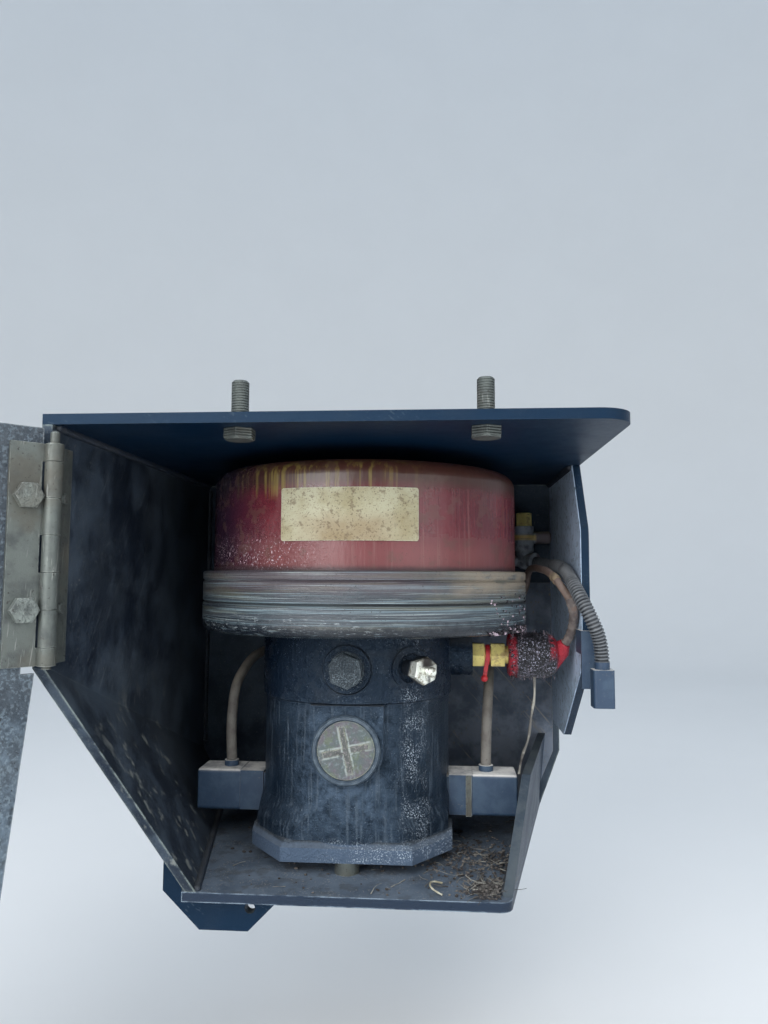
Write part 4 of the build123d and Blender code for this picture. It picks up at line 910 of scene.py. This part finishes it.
class PUMP_OT_leads(bpy.types.Operator):
    """Makes the ribbed conduit, the tape on the switch's lead and the loose stalks"""

    bl_idname = "pump.leads"
    bl_label = "Conduit, tape and stalks"

    conduit_route = (
        (126.6, 140.8, -76.8), (133.5, 134, -78), (136, 115, -80), (136.2, 84, -80), (136.2, 55, -82),
        (136.2, 31, -85.5), (137.5, 4, -97.5), (145, -8, -116), (152.2, -5.2, -133), (152.5, -5, -145.7),
    )
    sleeve_route = (
        (134.7, 35.1, -137.1), (137.6, 32.8, -132.6), (139, 24, -122), (138, 15, -113), (134.5, 14, -104),
    )
    patch_route = ((127.7, 23.3, -92.2), (126.7, 25.8, -90.3), (126, 28.5, -89.2))
    stalk_route = (
        (110.4, 21, -160), (111, 20.4, -172), (108, 21, -186), (106, 20, -204), (101, 23, -215),
        (99.4, 25, -228),
    )
    curl_route = ((45, -37, -280.6), (40, -38, -279), (37, -43, -278.5), (38.5, -50, -279.5), (45, -54, -281))

    def execute(self, context):
        for name, finish_name, slot, route, crest, root, pitch in (
            ("conduit_ribbed", "ribbed_conduit", "black_plastic", self.conduit_route, 5.0, 4.2, 2.3),
            ("switch_lead_tape", "grimy_tape", "lead_jacket", self.sleeve_route, 3.45, 3.2, 5.0),
            ("switch_lead_patch", "tan_tape", "lead_jacket", self.patch_route, 3.4, 3.3, 2.5),
            ("dry_stalk", "dry_needles", "bracket_paint", self.stalk_route, 1.0, 0.75, 17.0),
            ("curled_straw", "pale_straw", "bracket_paint", self.curl_route, 0.65, 0.5, 4.0),
        ):
            settle(self.tube(name, route, crest, root, pitch), name, finish_name)
        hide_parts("conduit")
        return {"FINISHED"}

    def line(self, name, route):
        """Points along the smooth line that a route's points steer."""
        curve = bpy.data.curves.new(name, "CURVE")
        curve.dimensions = "3D"
        spline = curve.splines.new("NURBS")
        spline.points.add(len(route) - 1)
        for point, place in zip(spline.points, route):
            point.co = (*(Vector(place) * MM), 1.0)
        spline.order_u = 3
        spline.use_endpoint_u = True
        spline.resolution_u = 24
        holder = bpy.data.objects.new(name, curve)
        bpy.context.collection.objects.link(holder)
        bpy.context.view_layer.update()
        mesh = bpy.data.meshes.new_from_object(holder)
        points = [vertex.co.copy() for vertex in mesh.vertices]
        bpy.data.objects.remove(holder)
        bpy.data.meshes.remove(mesh)
        return points

    def tube(self, name, route, crest, root, pitch):
        """A tube along a route, its radius between a crest and a root at an even pitch, all in mm."""
        points = self.line(name, route)
        lengths = [0.0]
        for before, after in zip(points, points[1:]):
            lengths.append(lengths[-1] + (after - before).length)
        rows = round(lengths[-1] / (pitch * MM)) * 4  # a rib is four rings, two wide and two narrow
        rings = []
        index = 0
        for row in range(rows + 1):
            target = lengths[-1] * row / rows
            while index < len(points) - 2 and lengths[index + 1] < target:
                index += 1
            before, after = points[index], points[index + 1]
            share = (target - lengths[index]) / max(lengths[index + 1] - lengths[index], 1e-9)
            radius = (crest if row % 4 in (0, 1) else root) * MM
            rings.append((before.lerp(after, share), (after - before).normalized(), radius))
        return self.skin(name, rings)

    def skin(self, name, rings, sides=14):
        """A closed mesh through rings of centre, direction and radius. The widest are crests."""
        corners, faces = [], []
        across = Vector((0, 0, 1)).cross(rings[0][1]).normalized()
        for centre, way, radius in rings:
            across = (across - way * across.dot(way)).normalized()
            other = way.cross(across)
            for side in range(sides):
                angle = math.tau * side / sides
                corners.append(centre + radius * (math.cos(angle) * across + math.sin(angle) * other))
        for row in range(len(rings) - 1):
            for side in range(sides):
                near, far = row * sides, (row + 1) * sides
                step = (side + 1) % sides
                faces.append((near + side, near + step, far + step, far + side))
        faces.append(tuple(reversed(range(sides))))
        faces.append(tuple(range(len(corners) - sides, len(corners))))
        mesh = bpy.data.meshes.new(name)
        mesh.from_pydata(corners, [], faces)
        top = max(radius for _, _, radius in rings)
        crest = mesh.attributes.new("crest", "FLOAT", "POINT")
        for row, (_, _, radius) in enumerate(rings):
            for side in range(sides):
                crest.data[row * sides + side].value = float(radius == top)
        piece = bpy.data.objects.new(name, mesh)
        bpy.context.collection.objects.link(piece)
        pick(piece)
        bpy.ops.object.shade_smooth_by_angle(angle=math.radians(50))
        return piece


class PUMP_OT_litter(bpy.types.Operator):
    """Scatters dry needles and crumbs on the shelf"""

    bl_idname = "pump.litter"
    bl_label = "Litter"

    def execute(self, context):
        look = context.scene.litter_look
        chance = random.Random(look.seed)
        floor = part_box("shelf")[1][2]
        heaps = (  # centre, spread, share and depth in mm
            (Vector((0.075, -0.044, floor)), 0.009, 0.35, 4.0),
            (Vector((0.078, 0.0, floor)), 0.02, 0.3, 4.0),
            (Vector((0.06, 0.02, floor)), 0.024, 0.15, 2.0),
            (Vector((-0.02, -0.02, floor)), 0.075, 0.2, 0.6),
        )
        needles = [self.spot(chance, heaps) for _ in range(look.needle_count)]
        places = []
        for place in needles:
            way = Vector((chance.uniform(-1, 1), chance.uniform(-1, 1), chance.uniform(0.0, 0.12)))
            length = chance.uniform(5.0, 15.0) * MM
            place.z += 0.5 * MM
            places.append(lying(place, way, (length, length, length), chance.uniform(0, 6)))
        settle(copies_of(straw(), places), "shelf_needles", "dry_needles")
        places = []
        for _ in range(look.crumb_count):
            size = chance.uniform(0.35, 1.5) * MM
            shape = (size, size * chance.uniform(0.5, 1.4), size * 0.6)
            place = self.spot(chance, heaps) + Vector((0, 0, 0.4 * size))
            places.append(lying(place, (chance.uniform(-0.3, 0.3), 0, 1), shape, chance.uniform(0, 6)))
        settle(copies_of(speck(), places), "shelf_crumbs", "bark_crumbs")
        return {"FINISHED"}

    def spot(self, chance, heaps):
        """A place in one of the heaps, clear of the walls' feet."""
        front, back = -0.057, 0.15
        while True:
            draw = chance.random()
            for centre, spread, share, depth in heaps:
                draw -= share
                if draw < 0:
                    break
            place = centre + Vector((chance.gauss(0, spread), chance.gauss(0, spread), 0))
            splay = 0.2 * (place.y + 0.06)  # the shelf widens towards the back
            if -0.104 - splay < place.x < 0.079 + splay and front < place.y < back:
                nearness = math.exp(-((place - centre).length / spread) ** 2)
                return place + Vector((0, 0, chance.random() * depth * MM * nearness))


class PUMP_OT_studio(bpy.types.Operator):
    """Sets up the floor and backdrop, the lights and the camera"""

    bl_idname = "pump.studio"
    bl_label = "Studio"

    def execute(self, context):
        scene = context.scene
        look = scene.studio_look
        scene.view_settings.view_transform = "Standard"
        self.backdrop(look)
        for name, place, size, share in (
            ("key", (-0.7, -1.4, 0.42), 1.1, 1.0),
            ("top", (0.3, -0.9, 1.3), 1.4, 0.5),
            ("fill", (1.2, -1.3, 0.1), 1.3, 0.35),
        ):
            self.lamp(name, place, size, share * look.key_power)
        world = bpy.data.worlds.new("studio_air")
        world.use_nodes = True
        sky = world.node_tree.nodes["Background"]
        sky.inputs["Color"].default_value = (0.68, 0.82, 1.0, 1.0)
        sky.inputs["Strength"].default_value = 0.85
        scene.world = world
        self.camera(look)
        return {"FINISHED"}

    def backdrop(self, look):
        """A wide bowl: a flat floor whose rim curves up all round."""
        floor = cad_box[0][2] - look.floor_drop
        reach, wall = 2.6, 3.2
        bends, bend_length = 12, 0.157
        start_clean()
        bpy.ops.mesh.primitive_plane_add(size=0.01, location=(reach, 0, floor))
        bowl = bpy.context.object
        bpy.ops.object.transform_apply(location=True)
        edit()
        bpy.ops.mesh.delete(type="ONLY_FACE")
        bpy.ops.mesh.select_all(action="SELECT")
        bpy.ops.mesh.merge(type="CENTER")
        bpy.ops.mesh.extrude_vertices_move(TRANSFORM_OT_translate={"value": (-reach, 0, 0)})
        leave_edit()
        for vertex in bowl.data.vertices:
            vertex.select = vertex.co.x > reach / 2
        bpy.ops.object.mode_set(mode="EDIT")
        for bend in range(1, bends + 1):
            angle = math.radians(90.0 / bends * bend)
            step = (bend_length * math.cos(angle), 0, bend_length * math.sin(angle))
            bpy.ops.mesh.extrude_vertices_move(TRANSFORM_OT_translate={"value": step})
        bpy.ops.mesh.extrude_vertices_move(TRANSFORM_OT_translate={"value": (0, 0, wall)})
        bpy.ops.mesh.select_all(action="SELECT")
        bpy.ops.mesh.spin(steps=64, angle=math.tau, center=(0, 0, floor), axis=(0, 0, 1))
        bpy.ops.mesh.select_all(action="SELECT")
        bpy.ops.mesh.remove_doubles(threshold=0.0005)
        bpy.ops.mesh.normals_make_consistent(inside=True)
        leave_edit()
        bpy.ops.object.shade_smooth()
        bowl.name = "floor"
        material = bpy.data.materials.new("pale_floor")
        material.use_nodes = True
        tree = material.node_tree
        patches = ramp(tree, cloud(tree, object_place(tree), 3.0, 3.0), 0.3, 0.7)
        pale = (*look.backdrop, 1.0)
        darker = (*(0.985 * part for part in look.backdrop), 1.0)
        shader = tree.nodes["Principled BSDF"]
        tree.links.new(mixed(tree, patches, pale, darker, "RGBA"), shader.inputs["Base Color"])
        shader.inputs["Roughness"].default_value = 0.85
        bowl.data.materials.append(material)

    def lamp(self, name, place, size, power):
        """A square soft light that faces the object."""
        data = bpy.data.lights.new(name, "AREA")
        data.size = size
        data.energy = power
        lamp = bpy.data.objects.new(name, data)
        lamp.location = place
        lamp.rotation_euler = (middle("pump_body") - Vector(place)).to_track_quat("-Z", "Y").to_euler()
        bpy.context.collection.objects.link(lamp)

    def camera(self, look):
        """The camera at the photograph's place, its angles in radians."""
        place = (0.0443, -0.5375, -0.0896)
        yaw, pitch, roll = -0.0732, 0.0838, 0.0039
        ahead = Vector((math.sin(yaw) * math.cos(pitch), math.cos(yaw) * math.cos(pitch), math.sin(pitch)))
        right = Vector((math.cos(yaw), -math.sin(yaw), 0.0))
        up = right.cross(ahead)
        turned_right = right * math.cos(roll) + up * math.sin(roll)
        turned_up = up * math.cos(roll) - right * math.sin(roll)
        data = bpy.data.cameras.new("camera")
        data.sensor_width = 36.0
        data.lens = look.lens
        data.clip_start = 0.01
        camera = bpy.data.objects.new("camera", data)
        axes = Matrix((turned_right, turned_up, -ahead)).transposed().to_4x4()
        camera.matrix_world = Matrix.Translation(place) @ axes
        bpy.context.collection.objects.link(camera)
        bpy.context.scene.camera = camera


class PUMP_PT_panel(bpy.types.Panel):
    """Lists the looks and the steps in the sidebar"""

    bl_label = "Grease pump"
    bl_idname = "PUMP_PT_panel"
    bl_space_type = "VIEW_3D"
    bl_region_type = "UI"
    bl_category = "Grease pump"

    def draw(self, context):
        for name in looks:
            box = self.layout.box()
            group = getattr(context.scene, name)
            for key in group.bl_rna.properties.keys():
                if key not in ("rna_type", "name"):
                    box.prop(group, key)
        for step in steps:
            self.layout.operator(step.bl_idname)


looks = {
    "bracket_look": BracketLook, "pump_look": PumpLook, "litter_look": LitterLook, "studio_look": StudioLook,
}
steps = (PUMP_OT_finishes, PUMP_OT_welds, PUMP_OT_grease, PUMP_OT_leads, PUMP_OT_litter, PUMP_OT_studio)
classes = (*looks.values(), *steps, PUMP_PT_panel)


def register():
    for kind in classes:
        bpy.utils.register_class(kind)
    for name, kind in looks.items():
        setattr(bpy.types.Scene, name, PointerProperty(type=kind))


def unregister():
    for name in looks:
        delattr(bpy.types.Scene, name)
    for kind in reversed(classes):
        bpy.utils.unregister_class(kind)


def main():
    register()
    bpy.ops.pump.finishes()
    bpy.ops.pump.welds()
    bpy.ops.pump.grease()
    bpy.ops.pump.leads()
    bpy.ops.pump.litter()
    bpy.ops.pump.studio()


if __name__ == "__main__":
    main()
